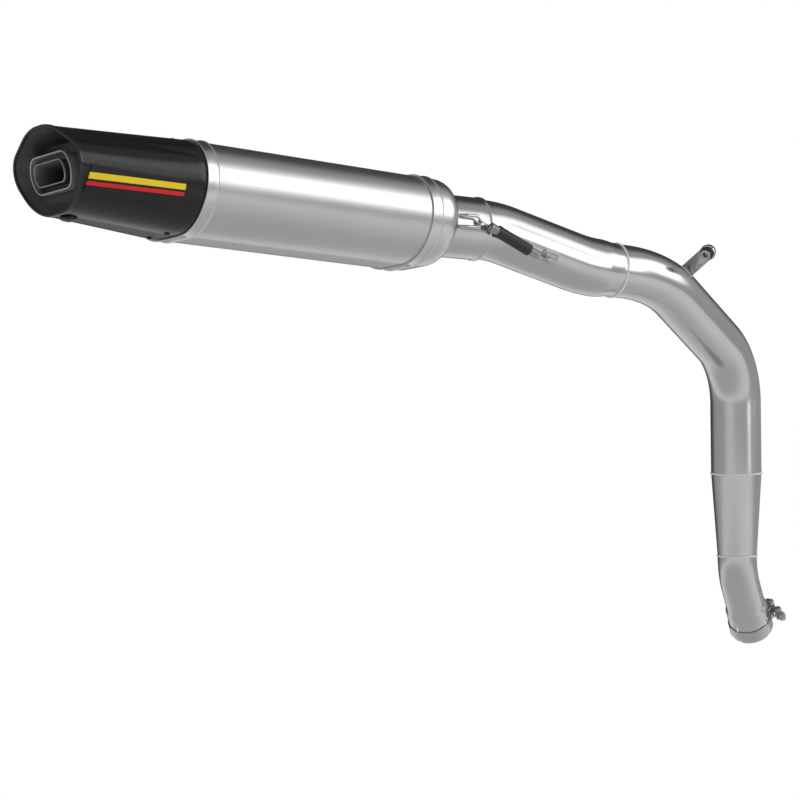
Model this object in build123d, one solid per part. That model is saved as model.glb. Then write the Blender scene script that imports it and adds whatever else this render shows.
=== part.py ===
from build123d import *
import math
import os

os.makedirs("parts", exist_ok=True)

# A single-sided racing exhaust: silencer, slip joint, link pipe and header clamp.
# Millimetres. The origin is the centre of the header socket's mouth, +Z is up and
# +X runs along the silencer from its outlet towards the engine.

# ---------------------------------------------------------------- driving sizes
GAP = 0.05                      # face-to-face gap between nested sheet parts
FIT = 0.08                      # radial clearance of a sliding or turning fit

# Link pipe centre line: corners of its straight runs
MOUTH = Vector(0, 0, 0)
LOWER_CORNER = Vector(-58.5, -30.6, 66.1)
UPPER_CORNER = Vector(-85.2, -57.8, 317.3)
REAR_CORNER = Vector(-268.5, -108.5, 397.0)
FRONT_CORNER = Vector(-369.1, -90.0, 401.5)
LOWER_BEND_R = 60
UPPER_BEND_R = 85
REAR_BEND_R = 160
FRONT_BEND_R = 150
STUB_BEND_R = 125

FRONT_TUBE_R = 32.5             # 65 mm tube that slides into the silencer
MAIN_TUBE_R = 30.0              # 60 mm main tube
HEADER_TUBE_R = 23.4            # 46.8 mm tube down to the header
TUBE_WALL = 1.2
SOCKET_R = 25.2                 # expanded socket that slides over the header pipe
SOCKET_BORE_R = 23.6
SOCKET_LENGTH = 38
WELD_1_AT = 41                  # distance past FRONT_CORNER
WELD_2_AT = 133                 # distance below UPPER_CORNER
WELD_3_AT = 22                  # distance above LOWER_CORNER

# Silencer: its axis is level and parallel to X
SILENCER_Y = -51.3
SILENCER_Z = 432.6
REAR_X = -900.8                 # outlet end of the sleeve
SLEEVE_LENGTH = 302.4
BAND_WIDTH = 15
SHEET = 1.0
CARBON = 1.6
CAP_LENGTH = 139.5              # from the sleeve to the outlet, along the axis
CAP_REACH = 154                 # beyond the furthest point of the leaning cut
CUT_LEAN = 14.2                 # the outlet face leans back at the top
RIM = 2.5

# Rounded hexagons: half width and height at the top, middle and bottom corners
BODY_OUTLINE = ((51.0, 42.3), (72.3, -3.0), (42.1, -50.3))
BODY_ROUND = (38, 44, 50)
MOUTH_OUTLINE = ((20.0, 41.1), (68.4, 8.3), (33.9, -41.1))
MOUTH_ROUND = (50, 24, 52)
RING_OUTLINE = ((30.0, 15.5), (37.0, -2.0), (29.5, -20.5))
RING_ROUND = (12, 21, 12)
INSERT_OUTLINE = ((24.0, 8.0), (27.0, -3.0), (24.0, -14.0))
INSERT_ROUND = (7.5, 13, 7.5)
CORE_OUTLINE = ((15.0, 26.0), (30.0, 0.0), (15.0, -26.0))
CORE_ROUND = (24.5, 24.5, 24.5)

# Rivets on the flat facets: sideways places on the top and the bottom
RIVET_TOP = (-23, 0, 23)
RIVET_BOTTOM = (-15, 15)
RIVET_HEAD_R = 2.6
CAP_RIVET_AT = 12               # distance of the cap's rivets from the sleeve

# Badge plate on the cap's near side
BADGE_LENGTH = 104
BADGE_HEIGHT = 28
BADGE_AT = 76                   # distance of its middle from the sleeve
BADGE_RISE = -15                # height of its middle above the silencer's axis

# Outlet, noise insert and its screw
PLATE_AT = 124                  # distance of the funnel's flat plate from the sleeve
RING_RECESS = 3                 # the collar ends this far inside the cut face
RING_WALL = 1.2
RING_DEPTH = 18                 # the collar runs this far past the plate
INSERT_CLEAR = 0.3
INSERT_WALL = 1.1
INSERT_DEPTH = 46
FLANGE_RECESS = 7               # the insert's flange lies this far inside the collar
SCREW_AT = 115                  # distance of the screw from the sleeve
SCREW_R = 2.5
SCREW_HEAD_R = 8.5

# Core and bulkheads inside the sleeve
CORE_R = 26.0
REAR_PLATE_AT = 24
FRONT_PLATE_AT = 22
PLATE_THICK = 1.5
CORE_HOLE_R = 3.5
CORE_ROWS = 9

# Inlet stub and slip joint
STUB_R = 34.0
STUB_BORE_R = FRONT_TUBE_R + FIT
STUB_START = Vector(-572, SILENCER_Y, SILENCER_Z)
STUB_YAW = 8
STUB_RIM_AT = 70
SLIP_DEPTH = 42
DOME_LENGTH = 34

# Springs across the slip joint
SPRING_AT_STUB = 46
SPRING_AT_PIPE = 57
SPRING_COIL_R = 5.2
SPRING_WIRE_R = 0.9
SPRING_SLEEVE_R = 6.6
HOOK_STANDOFF = 8.2
HOOK_TILT = 27                  # the pipe's hooks sit this far below its sides
EYE_WIRE_R = 1.7

# Hanger strap
HANGER_ROOT = Vector(-232.4, -121.3, 406.3)
HANGER_REACH = Vector(-0.094, -0.906, 0.411)
HANGER_WIDTH = Vector(0.572, -0.385, -0.721)
HANGER_LENGTH = 38
HANGER_THICK = 3
HANGER_HEAD_R = 9
BUSH_BORE_R = 3.2
BUSH_LENGTH = 15

# Header clamp
CLAMP_AT = 11                   # distance of the band's middle above the mouth
CLAMP_WIDTH = 15
CLAMP_THICK = 0.9
CLAMP_LUG = Vector(0.797, -0.487, 0.481)
CLAMP_INNER_R = SOCKET_R + 0.3
BOLT_R = 3.0
BOLT_OUT = CLAMP_INNER_R + 9.5
LOOP_AT = 8.6                   # distance of each loop from the middle of the gap
LOOP_R = 4.6
TRUNNION_R = 3.6
EAR_FACE = LOOP_AT + LOOP_R + GAP
HEX_R = 5                       # corner radius of the bolt's head and the nut


# ---------------------------------------------------------------- helpers
def unit(v):
    return v / v.length


def frame_at(point, direction, across=None):
    """A plane whose normal is the given direction."""
    return Plane(origin=point, x_dir=across, z_dir=direction)


def ring(plane, outer, inner, start, end):
    """A round sleeve along the plane's normal, from start to end."""
    solid = Cylinder(outer, end - start, align=(Align.CENTER, Align.CENTER, Align.MIN))
    hole = Cylinder(inner, end - start + 2, align=(Align.CENTER, Align.CENTER, Align.MIN))
    return plane * Pos(0, 0, start) * (solid - Pos(0, 0, -1) * hole)


def rod(plane, radius, start, end):
    return plane * Pos(0, 0, start) * Cylinder(
        radius, end - start, align=(Align.CENTER, Align.CENTER, Align.MIN)
    )


def sweep_disc(points, radii, radius):
    """A round bar along straight runs joined by tangent arcs."""
    path = FilletPolyline(*points, radius=radii)
    start = frame_at(points[0], unit(points[1] - points[0]))
    return sweep(start * Circle(radius), path=path)


def bent_tube(points, radii, outer, wall):
    return sweep_disc(points, radii, outer) - sweep_disc(points, radii, outer - wall)


def taper(start, end, start_r, end_r, wall):
    """A short tapered sleeve between two points."""
    plane = frame_at(start, unit(end - start))
    length = (end - start).length
    bottom = (Align.CENTER, Align.CENTER, Align.MIN)
    return plane * (
        Cone(start_r, end_r, length, align=bottom)
        - Cone(start_r - wall, end_r - wall, length, align=bottom)
    )


def weld_bead(plane, radius):
    """A rounded bead proud of a tube, around a butt joint."""
    profile = Pos(radius, 0) * Circle(1.1) & Pos(radius + 1, 0) * Rectangle(2, 4)
    return plane * revolve(Plane.XZ * profile, axis=Axis.Z)


def hexagon(outline, rounding, grow=0.0):
    """A rounded hexagon, symmetric about its own vertical axis."""
    right = [(w, z) for w, z in outline]
    left = [(-w, z) for w, z in reversed(outline)]
    radii = list(rounding) + list(reversed(rounding))
    face = make_face(FilletPolyline(*(right + left), radius=radii, close=True))
    return offset(face, amount=grow) if grow else face


def silencer_plane(x):
    """Across the silencer, with its normal along +X."""
    return Plane(origin=(x, SILENCER_Y, SILENCER_Z), x_dir=(0, 1, 0), z_dir=(1, 0, 0))


def prism(outline, rounding, grow, start, end):
    return extrude(silencer_plane(start) * hexagon(outline, rounding, grow), amount=end - start)


def between(outline_a, outline_b, t):
    """The outline a fraction t of the way from one hexagon to another."""
    return tuple(
        (a[0] + (b[0] - a[0]) * t, a[1] + (b[1] - a[1]) * t)
        for a, b in zip(outline_a, outline_b)
    )


def cap_solid(grow, front, back):
    """The tapering inside or outside of the end cap, between two distances from the sleeve."""
    faces = []
    for reach in (front, back):
        t = reach / CAP_LENGTH
        outline = between(BODY_OUTLINE, MOUTH_OUTLINE, t)
        rounding = tuple(a + (b - a) * t for a, b in zip(BODY_ROUND, MOUTH_ROUND))
        faces.append(silencer_plane(REAR_X - reach) * hexagon(outline, rounding, grow))
    return loft(faces, ruled=True)


def outlet_slab(near, far):
    """A slab across the outlet, between two depths in front of the cut face."""
    lean = math.radians(CUT_LEAN)
    normal = Vector(math.cos(lean), 0, math.sin(lean))
    origin = Vector(REAR_X - CAP_LENGTH, SILENCER_Y, SILENCER_Z) + normal * near
    face = Plane(origin=origin, x_dir=(0, 1, 0), z_dir=normal) * Rectangle(260, 260)
    return extrude(face, amount=far - near)


# ---------------------------------------------------------------- link pipe
stub_dir = Vector(math.cos(math.radians(STUB_YAW)), -math.sin(math.radians(STUB_YAW)), 0)
stub_corner = STUB_START + stub_dir * 91
front_run = unit(REAR_CORNER - FRONT_CORNER)
down_run = unit(LOWER_CORNER - UPPER_CORNER)
mouth_dir = unit(MOUTH - LOWER_CORNER)
weld_1 = FRONT_CORNER + front_run * WELD_1_AT
weld_2 = UPPER_CORNER + down_run * WELD_2_AT
weld_3 = LOWER_CORNER - down_run * WELD_3_AT


def front_bend_tube():
    """The 65 mm S-bend: its end slides in the silencer, and it narrows to the main tube."""
    neck = weld_1 - front_run * 24
    collar = weld_1 - front_run * 5
    slip_end = STUB_START + stub_dir * (STUB_RIM_AT - SLIP_DEPTH)
    bend = bent_tube(
        [slip_end, stub_corner, FRONT_CORNER, neck],
        [STUB_BEND_R, FRONT_BEND_R],
        FRONT_TUBE_R,
        TUBE_WALL,
    )
    cone = taper(neck, collar, FRONT_TUBE_R, MAIN_TUBE_R, TUBE_WALL)
    end = ring(frame_at(collar, front_run), MAIN_TUBE_R, MAIN_TUBE_R - TUBE_WALL, 0, 5)
    return bend + cone + end


def main_bend_tube():
    return bent_tube(
        [weld_1, REAR_CORNER, UPPER_CORNER, weld_2],
        [REAR_BEND_R, UPPER_BEND_R],
        MAIN_TUBE_R,
        TUBE_WALL,
    )


def reducer_cone():
    return taper(weld_2, weld_3, MAIN_TUBE_R, HEADER_TUBE_R, TUBE_WALL)


def header_socket_tube():
    """The lower bend, expanded into a slotted socket at its mouth."""
    socket_start = -mouth_dir * SOCKET_LENGTH
    neck = -mouth_dir * (SOCKET_LENGTH + 6)
    bend = bent_tube([weld_3, LOWER_CORNER, neck], [LOWER_BEND_R], HEADER_TUBE_R, TUBE_WALL)
    bottom = (Align.CENTER, Align.CENTER, Align.MIN)
    flare = frame_at(neck, mouth_dir) * (
        Cone(HEADER_TUBE_R, SOCKET_R, 6, align=bottom)
        - Cone(HEADER_TUBE_R - TUBE_WALL, SOCKET_BORE_R, 6, align=bottom)
    )
    socket = ring(frame_at(socket_start, mouth_dir), SOCKET_R, SOCKET_BORE_R, 0, SOCKET_LENGTH)
    tube = bend + flare + socket
    slot_plane = frame_at(MOUTH, -mouth_dir, CLAMP_LUG)
    for turn in (25, 115, 205, 295):
        slot = Box(30, 2.4, 24, align=(Align.MIN, Align.CENTER, Align.MIN))
        slot += Pos(0, 0, 24) * Rot(0, 90, 0) * Cylinder(
            2.4, 30, align=(Align.CENTER, Align.CENTER, Align.MIN)
        )
        tube -= slot_plane * Rot(0, 0, turn) * Pos(12, 0, -1) * slot
    return tube


def weld_beads():
    return [
        weld_bead(frame_at(weld_1, front_run), MAIN_TUBE_R + GAP),
        weld_bead(frame_at(weld_2, down_run), MAIN_TUBE_R + GAP),
        weld_bead(frame_at(weld_3, down_run), HEADER_TUBE_R + 3 * GAP),
    ]


# ---------------------------------------------------------------- slip joint springs
run_1 = unit(FRONT_CORNER - stub_corner)
side_at_stub = Vector(0, 0, 1).cross(stub_dir) * -1
down_at_pipe = unit(Vector(0, 0, -1) + run_1 * run_1.Z)
side_at_pipe = unit(down_at_pipe.cross(run_1))


def spring_ends(side):
    """The anchor points of one spring, on the silencer stub and on the link pipe."""
    tilt = math.radians(HOOK_TILT)
    stub_out = side_at_stub * side * (STUB_R + HOOK_STANDOFF)
    at_stub = STUB_START + stub_dir * SPRING_AT_STUB + stub_out
    out = unit(side_at_pipe * side * math.cos(tilt) + down_at_pipe * math.sin(tilt))
    at_pipe = stub_corner + run_1 * SPRING_AT_PIPE + out * (FRONT_TUBE_R + HOOK_STANDOFF)
    return at_stub, at_pipe, out


def stub_eye(side):
    """A bent-wire eye: two legs along the stub joined by a round nose."""
    out = side_at_stub * side
    plane = Plane(
        origin=STUB_START + stub_dir * SPRING_AT_STUB + out * (STUB_R + 5.0),
        x_dir=stub_dir,
        z_dir=out,
    )
    back = 20
    rise = 3.9
    near_leg = [(-back, -6, -rise), (-back + 7, -6, 0), (4, -6, 0)]
    far_leg = [(4, 6, 0), (-back + 7, 6, 0), (-back, 6, -rise)]
    path = FilletPolyline(*near_leg, *far_leg, radius=[3, 5.9, 5.9, 3])
    start = Plane(origin=near_leg[0], z_dir=(7, 0, rise))
    wire = sweep(start * Circle(EYE_WIRE_R), path=path)
    stub = rod(frame_at(STUB_START, stub_dir), STUB_R + GAP, 0, STUB_RIM_AT)
    return plane * wire - stub


def pipe_hook(side):
    """A folded sheet bracket welded to the pipe, with a hole for the spring."""
    _, at_pipe, out = spring_ends(side)
    plane = Plane(origin=at_pipe - out * HOOK_STANDOFF, x_dir=run_1, z_dir=out)
    foot = Pos(7, 0, 0.6) * Box(16, 15, 1.8, align=(Align.CENTER, Align.CENTER, Align.MIN))
    outline = Plane.XZ * Pos(2.25, 6.5) * Rectangle(15.5, 13)
    outline = fillet(outline.vertices().sort_by(Axis.Z)[-2:], 3)
    tab = extrude(outline, 0.9, both=True)
    hole = Rot(90, 0, 0) * Cylinder(2.3, 20)
    bracket = plane * (foot + tab - Pos(0, 0, HOOK_STANDOFF) * hole)
    pipe = rod(frame_at(stub_corner, run_1), FRONT_TUBE_R + GAP, 0, 120)
    return bracket - pipe


def spring(side):
    """A coil drawn as a plain sleeve, with a straight wire hook at each end."""
    at_stub, at_pipe, _ = spring_ends(side)
    axis = unit(at_pipe - at_stub)
    length = (at_pipe - at_stub).length
    plane = frame_at(at_stub, axis)
    coil_start = 17
    coil_end = length - 15
    coil = ring(plane, SPRING_COIL_R, SPRING_COIL_R - 2 * SPRING_WIRE_R, coil_start, coil_end)
    ends = []
    for start, end in ((1, coil_start), (coil_end, length - 6.5)):
        ends.append(rod(plane, SPRING_WIRE_R, start, end))
    for start in (coil_start, coil_end - 1):
        ends.append(rod(plane, SPRING_COIL_R, start, start + 1))
    return coil + ends


def spring_sleeve(side):
    at_stub, at_pipe, _ = spring_ends(side)
    plane = frame_at(at_stub, unit(at_pipe - at_stub))
    length = (at_pipe - at_stub).length
    return ring(plane, SPRING_SLEEVE_R, SPRING_COIL_R + 0.3, length * 0.29, length * 0.73)


# ---------------------------------------------------------------- hanger
hanger_normal = unit(HANGER_WIDTH.cross(HANGER_REACH))
head_centre = HANGER_ROOT + HANGER_REACH * HANGER_LENGTH
head_plane = Plane(origin=head_centre, x_dir=HANGER_REACH, z_dir=hanger_normal)


def hanger_strap():
    """A flat strap welded edge-on to the pipe, with a round head."""
    outline = Pos(-HANGER_LENGTH / 2 - 6, 0) * Rectangle(HANGER_LENGTH + 12, 2 * HANGER_HEAD_R - 2)
    outline += Circle(HANGER_HEAD_R)
    outline -= Circle(5.2)
    strap = head_plane * extrude(outline, HANGER_THICK / 2, both=True)
    return strap - sweep_disc(
        [weld_1, REAR_CORNER, UPPER_CORNER, weld_2],
        [REAR_BEND_R, UPPER_BEND_R],
        MAIN_TUBE_R + GAP,
    )


def hanger_grommet():
    """A rubber bobbin held in the strap's hole."""
    half = HANGER_THICK / 2 + GAP
    body = ring(head_plane, 5.1, 3.9, -half, half)
    for start, end in ((-half - 4.2, -half), (half, half + 4.2)):
        body += ring(head_plane, 7.6, 3.9, start, end)
    return body


def hanger_sleeve():
    """The steel spacer that the mounting bolt passes through."""
    half = BUSH_LENGTH / 2
    body = ring(head_plane, 3.9 - GAP, BUSH_BORE_R, -half, half)
    flange = ring(head_plane, 6.2, BUSH_BORE_R, half - 1, half)
    return body + flange


# ---------------------------------------------------------------- header clamp
clamp_centre = -mouth_dir * CLAMP_AT
clamp_plane = Plane(origin=clamp_centre, x_dir=CLAMP_LUG, z_dir=mouth_dir)
bolt_plane = Plane(
    origin=clamp_plane.from_local_coords((BOLT_OUT, 0, 0)), z_dir=clamp_plane.y_dir
)


def clamp_band():
    """A split band whose two ears fold round the trunnions."""
    band = Cylinder(CLAMP_INNER_R + CLAMP_THICK, CLAMP_WIDTH)
    band -= Cylinder(CLAMP_INNER_R, CLAMP_WIDTH + 2)
    band -= Pos(CLAMP_INNER_R, 0, 0) * Box(12, 9, CLAMP_WIDTH + 2)
    for side in (-1, 1):
        ear = Box(11, CLAMP_THICK, CLAMP_WIDTH, align=(Align.MIN, Align.CENTER, Align.CENTER))
        band += Pos(CLAMP_INNER_R - 0.4, side * (4.5 + CLAMP_THICK / 2), 0) * ear
        band += Pos(BOLT_OUT, side * LOOP_AT, 0) * Cylinder(LOOP_R, CLAMP_WIDTH)
        band -= Pos(BOLT_OUT, side * LOOP_AT, 0) * Cylinder(TRUNNION_R + GAP, CLAMP_WIDTH + 2)
    slot = Pos(BOLT_OUT, 0, 0) * Box(7.6, 40, 7.6)
    return clamp_plane * (band - slot)


def clamp_trunnions():
    """Two cross pins: the bolt passes through both."""
    bolt_hole = Pos(BOLT_OUT, 0, 0) * Rot(90, 0, 0) * Cylinder(BOLT_R + FIT, 40)
    pins = []
    for side in (-1, 1):
        pin = Pos(BOLT_OUT, side * LOOP_AT, 0) * Cylinder(TRUNNION_R, CLAMP_WIDTH + 2)
        pins.append(clamp_plane * (pin - bolt_hole))
    return pins


def clamp_bolt():
    """A hexagon-headed bolt across the ears."""
    shank = rod(bolt_plane, BOLT_R, -EAR_FACE - 1, EAR_FACE + 9)
    head = bolt_plane * Pos(0, 0, -EAR_FACE - 4) * extrude(RegularPolygon(HEX_R, 6), 4)
    return shank + head


def clamp_nut():
    """A flanged nut on the bolt, against the far ear."""
    flange = ring(bolt_plane, 5.8, BOLT_R + FIT, EAR_FACE, EAR_FACE + 1.4)
    body = bolt_plane * Pos(0, 0, EAR_FACE + 1.4) * extrude(RegularPolygon(HEX_R, 6), 4.6)
    return flange + body - rod(bolt_plane, BOLT_R + FIT, 0, 40)


# ---------------------------------------------------------------- silencer shell
front_x = REAR_X + SLEEVE_LENGTH


def outer_sleeve():
    """The titanium sheet wrapped into a rounded hexagon."""
    outer = prism(BODY_OUTLINE, BODY_ROUND, 0, REAR_X, front_x)
    inner = prism(BODY_OUTLINE, BODY_ROUND, -SHEET, REAR_X - 1, front_x + 1)
    return outer - inner


def band(start):
    """A strap over the sleeve's end, with a raised lip along both edges."""
    end = start + BAND_WIDTH
    body = prism(BODY_OUTLINE, BODY_ROUND, 0.9, start, end)
    for lip in (start, end - 1.2):
        body += prism(BODY_OUTLINE, BODY_ROUND, 1.7, lip, lip + 1.2)
    return body - prism(BODY_OUTLINE, BODY_ROUND, GAP, start - 1, end + 1)


def rivet_places(x):
    """Rivet positions on the flat top and bottom facets."""
    places = []
    for y in RIVET_TOP:
        places.append((x, SILENCER_Y + y, SILENCER_Z + BODY_OUTLINE[0][1], 1))
    for y in RIVET_BOTTOM:
        places.append((x, SILENCER_Y + y, SILENCER_Z + BODY_OUTLINE[2][1], -1))
    return places


def rivet(place, head_r, lift):
    """A dome-headed rivet standing on a flat facet."""
    x, y, z, up = place
    dome = Sphere(head_r * 1.25) & Pos(0, 0, head_r * 1.25) * Box(40, 40, head_r)
    head = Pos(0, 0, -head_r * 0.75) * dome
    return Pos(x, y, z + up * lift) * (head if up > 0 else Rot(180, 0, 0) * head)


def band_rivets(x):
    return [rivet(place, RIVET_HEAD_R, 0.95) for place in rivet_places(x)]


def end_cap():
    """The carbon cap: a spigot in the sleeve, and a tapering shell cut at a lean."""
    lean_reach = 2 * CAP_LENGTH * math.tan(math.radians(CUT_LEAN))
    shell = cap_solid(0, 0.1, CAP_REACH) - cap_solid(-CARBON, -1, CAP_REACH + 1)
    shell -= outlet_slab(-lean_reach, RIM)
    spigot = prism(BODY_OUTLINE, BODY_ROUND, -SHEET - GAP, REAR_X - 0.1, REAR_X + 22)
    spigot -= prism(BODY_OUTLINE, BODY_ROUND, -SHEET - CARBON, REAR_X - 1, REAR_X + 23)
    return shell + spigot - rod(screw_plane, SCREW_R + 0.3, 0, 60)


def end_cap_rim():
    """The black trim that closes the cap's cut edge."""
    body = cap_solid(0.5, 100, CAP_REACH) - cap_solid(-CARBON - 0.6, 99, CAP_REACH + 1)
    return body & outlet_slab(0, RIM - GAP)


# ---------------------------------------------------------------- outlet
cut_x = REAR_X - CAP_LENGTH     # where the leaning cut meets the axis
mouth_x = cut_x - 14            # clear of the cut's furthest edge
plate_x = REAR_X - PLATE_AT
ring_back_x = plate_x + RING_DEPTH
screw_x = REAR_X - SCREW_AT
screw_plane = Plane(origin=(screw_x, SILENCER_Y, SILENCER_Z), x_dir=(1, 0, 0), z_dir=(0, 0, -1))


def outlet_funnel():
    """The dark dish behind the rim, sloping in to a flat plate round the outlet."""
    mouth = silencer_plane(mouth_x)
    bottom = silencer_plane(plate_x)
    outer_face = hexagon(MOUTH_OUTLINE, MOUTH_ROUND, -CARBON - 0.8)
    inner_face = hexagon(between(RING_OUTLINE, MOUTH_OUTLINE, 0.42), (26, 26, 26))
    dish = loft([mouth * outer_face, bottom * inner_face], ruled=True)
    inside_face = hexagon(MOUTH_OUTLINE, MOUTH_ROUND, -CARBON - 2.0)
    inside_bottom = offset(inner_face, amount=-1.2)
    inside = loft([mouth * inside_face, bottom * inside_bottom], ruled=True)
    plate = extrude(silencer_plane(plate_x) * inner_face, amount=1.5)
    plate -= prism(RING_OUTLINE, RING_ROUND, GAP, plate_x - 1, plate_x + 3)
    funnel = (dish - inside) & outlet_slab(RIM, 80)
    return funnel + plate


def outlet_ring():
    """The outlet collar: a hexagonal tube through the funnel's plate."""
    body = prism(RING_OUTLINE, RING_ROUND, 0, mouth_x, ring_back_x)
    body -= prism(RING_OUTLINE, RING_ROUND, -RING_WALL, mouth_x - 1, ring_back_x + 1)
    body = body & outlet_slab(RING_RECESS, 80)
    return body - rod(screw_plane, SCREW_R + FIT, 0, 60)


def tail_tube():
    """The pipe that changes from the round core to the hexagonal outlet."""
    start = silencer_plane(ring_back_x + GAP)
    end = silencer_plane(rear_plate_x - GAP)
    walls = []
    for grow in (0, -RING_WALL):
        collar_face = start * hexagon(RING_OUTLINE, RING_ROUND, grow)
        core_face = end * hexagon(CORE_OUTLINE, CORE_ROUND, grow)
        walls.append(loft([collar_face, core_face], ruled=True))
    return walls[0] - walls[1]


def noise_insert():
    """The removable insert: a flange that fills the collar, and a smaller tube."""
    end = cut_x + INSERT_DEPTH
    flange_at = RING_RECESS + FLANGE_RECESS
    fit = -RING_WALL - INSERT_CLEAR
    body = prism(INSERT_OUTLINE, INSERT_ROUND, 0, mouth_x, end) & outlet_slab(RING_RECESS - 1, 90)
    filler = prism(RING_OUTLINE, RING_ROUND, fit, mouth_x, end)
    body += filler & outlet_slab(flange_at, flange_at + 1.5)
    skirt = filler - prism(RING_OUTLINE, RING_ROUND, fit - 1, mouth_x - 1, REAR_X)
    body += skirt & outlet_slab(flange_at, flange_at + 14)
    return body - prism(INSERT_OUTLINE, INSERT_ROUND, -INSERT_WALL, mouth_x - 1, REAR_X)


# ---------------------------------------------------------------- silencer inside
rear_plate_x = REAR_X + REAR_PLATE_AT
front_plate_x = front_x - FRONT_PLATE_AT


def bulkhead(x):
    """A flat plate across the sleeve that carries the core."""
    plate = prism(BODY_OUTLINE, BODY_ROUND, -SHEET - 0.3, x, x + PLATE_THICK)
    return plate - rod(silencer_plane(x), CORE_R + GAP, -40, 60)


def perforated_core():
    """The tube that the gas runs through, with rows of holes into the packing."""
    plane = silencer_plane(rear_plate_x)
    length = front_plate_x - rear_plate_x
    tube = ring(plane, CORE_R, CORE_R - 1, -GAP, length + 1)
    hole = Pos(CORE_R, 0, 0) * Rot(0, 90, 0) * Cylinder(CORE_HOLE_R, 6)
    holes = []
    for row in range(CORE_ROWS):
        along = length * (row + 0.8) / (CORE_ROWS + 0.6)
        for turn in range(0, 360, 45):
            holes.append(plane * Pos(0, 0, along) * Rot(0, 0, turn + 22.5 * (row % 2)) * hole)
    return tube - holes


def packing_wool():
    """The wool blanket between the core and the sleeve."""
    wool = prism(BODY_OUTLINE, BODY_ROUND, -SHEET - 0.4, rear_plate_x + 1.8, front_plate_x - 0.3)
    return wool - rod(silencer_plane(rear_plate_x), CORE_R + 0.3, -5, 400)


def inlet_cap():
    """The pressed titanium front cap, with a wide round shoulder."""
    outer = prism(BODY_OUTLINE, BODY_ROUND, 0, front_x + 0.1, front_x + DOME_LENGTH)
    inner = prism(BODY_OUTLINE, BODY_ROUND, -1.3, front_x - 5, front_x + DOME_LENGTH - 1.3)
    outer = fillet(outer.faces().sort_by(Axis.X)[-1].edges(), 24)
    inner = fillet(inner.faces().sort_by(Axis.X)[-1].edges(), 22.7)
    spigot = prism(BODY_OUTLINE, BODY_ROUND, -SHEET - GAP, front_x - 18, front_x + 0.2)
    spigot -= prism(BODY_OUTLINE, BODY_ROUND, -SHEET - 1.3, front_x - 19, front_x + 1)
    return outer - inner + spigot - rod(frame_at(STUB_START, stub_dir), STUB_R + GAP, -30, 60)


def inlet_stub():
    """The tube that the link pipe slides into."""
    return ring(frame_at(STUB_START, stub_dir), STUB_R, STUB_BORE_R, -8, STUB_RIM_AT)


def stub_weld():
    """The bead where the stub leaves the front cap."""
    face_x = front_x + DOME_LENGTH
    at = (face_x - STUB_START.X) / stub_dir.X
    centre = STUB_START + stub_dir * at
    bead = Plane(origin=centre, z_dir=(1, 0, 0)) * Torus(STUB_R + 0.2, 1.7)
    bead -= rod(frame_at(STUB_START, stub_dir), STUB_R + GAP, 0, STUB_RIM_AT)
    behind = Box(20, 100, 100, align=(Align.MAX, Align.CENTER, Align.CENTER))
    return bead - Pos(face_x + GAP, centre.Y, centre.Z) * behind


# ---------------------------------------------------------------- badge and screw
def badge_plate():
    """A blank plate riding on the near side vertex of the cap."""
    band_body = cap_solid(1.1, 0.1, CAP_REACH) - cap_solid(GAP, 0.1, CAP_REACH)
    outline = fillet(Rectangle(BADGE_LENGTH, BADGE_HEIGHT).vertices(), 5)
    window = extrude(outline, 60, both=True).rotate(Axis.X, 90)
    return band_body & Pos(REAR_X - BADGE_AT, SILENCER_Y - 60, SILENCER_Z + BADGE_RISE) * window


def insert_screw():
    """The domed black screw under the cap: its tip bears on the noise insert."""
    slope = (BODY_OUTLINE[2][1] - MOUTH_OUTLINE[2][1]) / CAP_LENGTH
    surface = -BODY_OUTLINE[2][1] - slope * (screw_x - REAR_X)
    seat = surface + 0.7
    shank = rod(screw_plane, SCREW_R, -RING_OUTLINE[2][1] - 0.9, seat + 1)
    head = rod(screw_plane, SCREW_HEAD_R, seat, seat + 3.2)
    head = fillet(head.edges().sort_by(Axis.Z)[0], 2.2)
    socket = screw_plane * Pos(0, 0, seat + 1.2) * extrude(RegularPolygon(2.5, 6), 5)
    return shank + head - socket


def insert_screw_boss():
    """The threaded boss on the outlet collar that the screw turns in."""
    top = -RING_OUTLINE[2][1] + GAP
    return ring(screw_plane, 6.0, SCREW_R + FIT, top, top + 12)


def cap_rivets():
    """The black rivets through the cap and its spigot."""
    outline = between(BODY_OUTLINE, MOUTH_OUTLINE, CAP_RIVET_AT / CAP_LENGTH)
    heads = []
    for x, y, _, up in rivet_places(REAR_X - CAP_RIVET_AT):
        height = outline[0][1] if up > 0 else outline[2][1]
        heads.append(rivet((x, y, SILENCER_Z + height, up), RIVET_HEAD_R, 0.25))
    return heads


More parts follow.
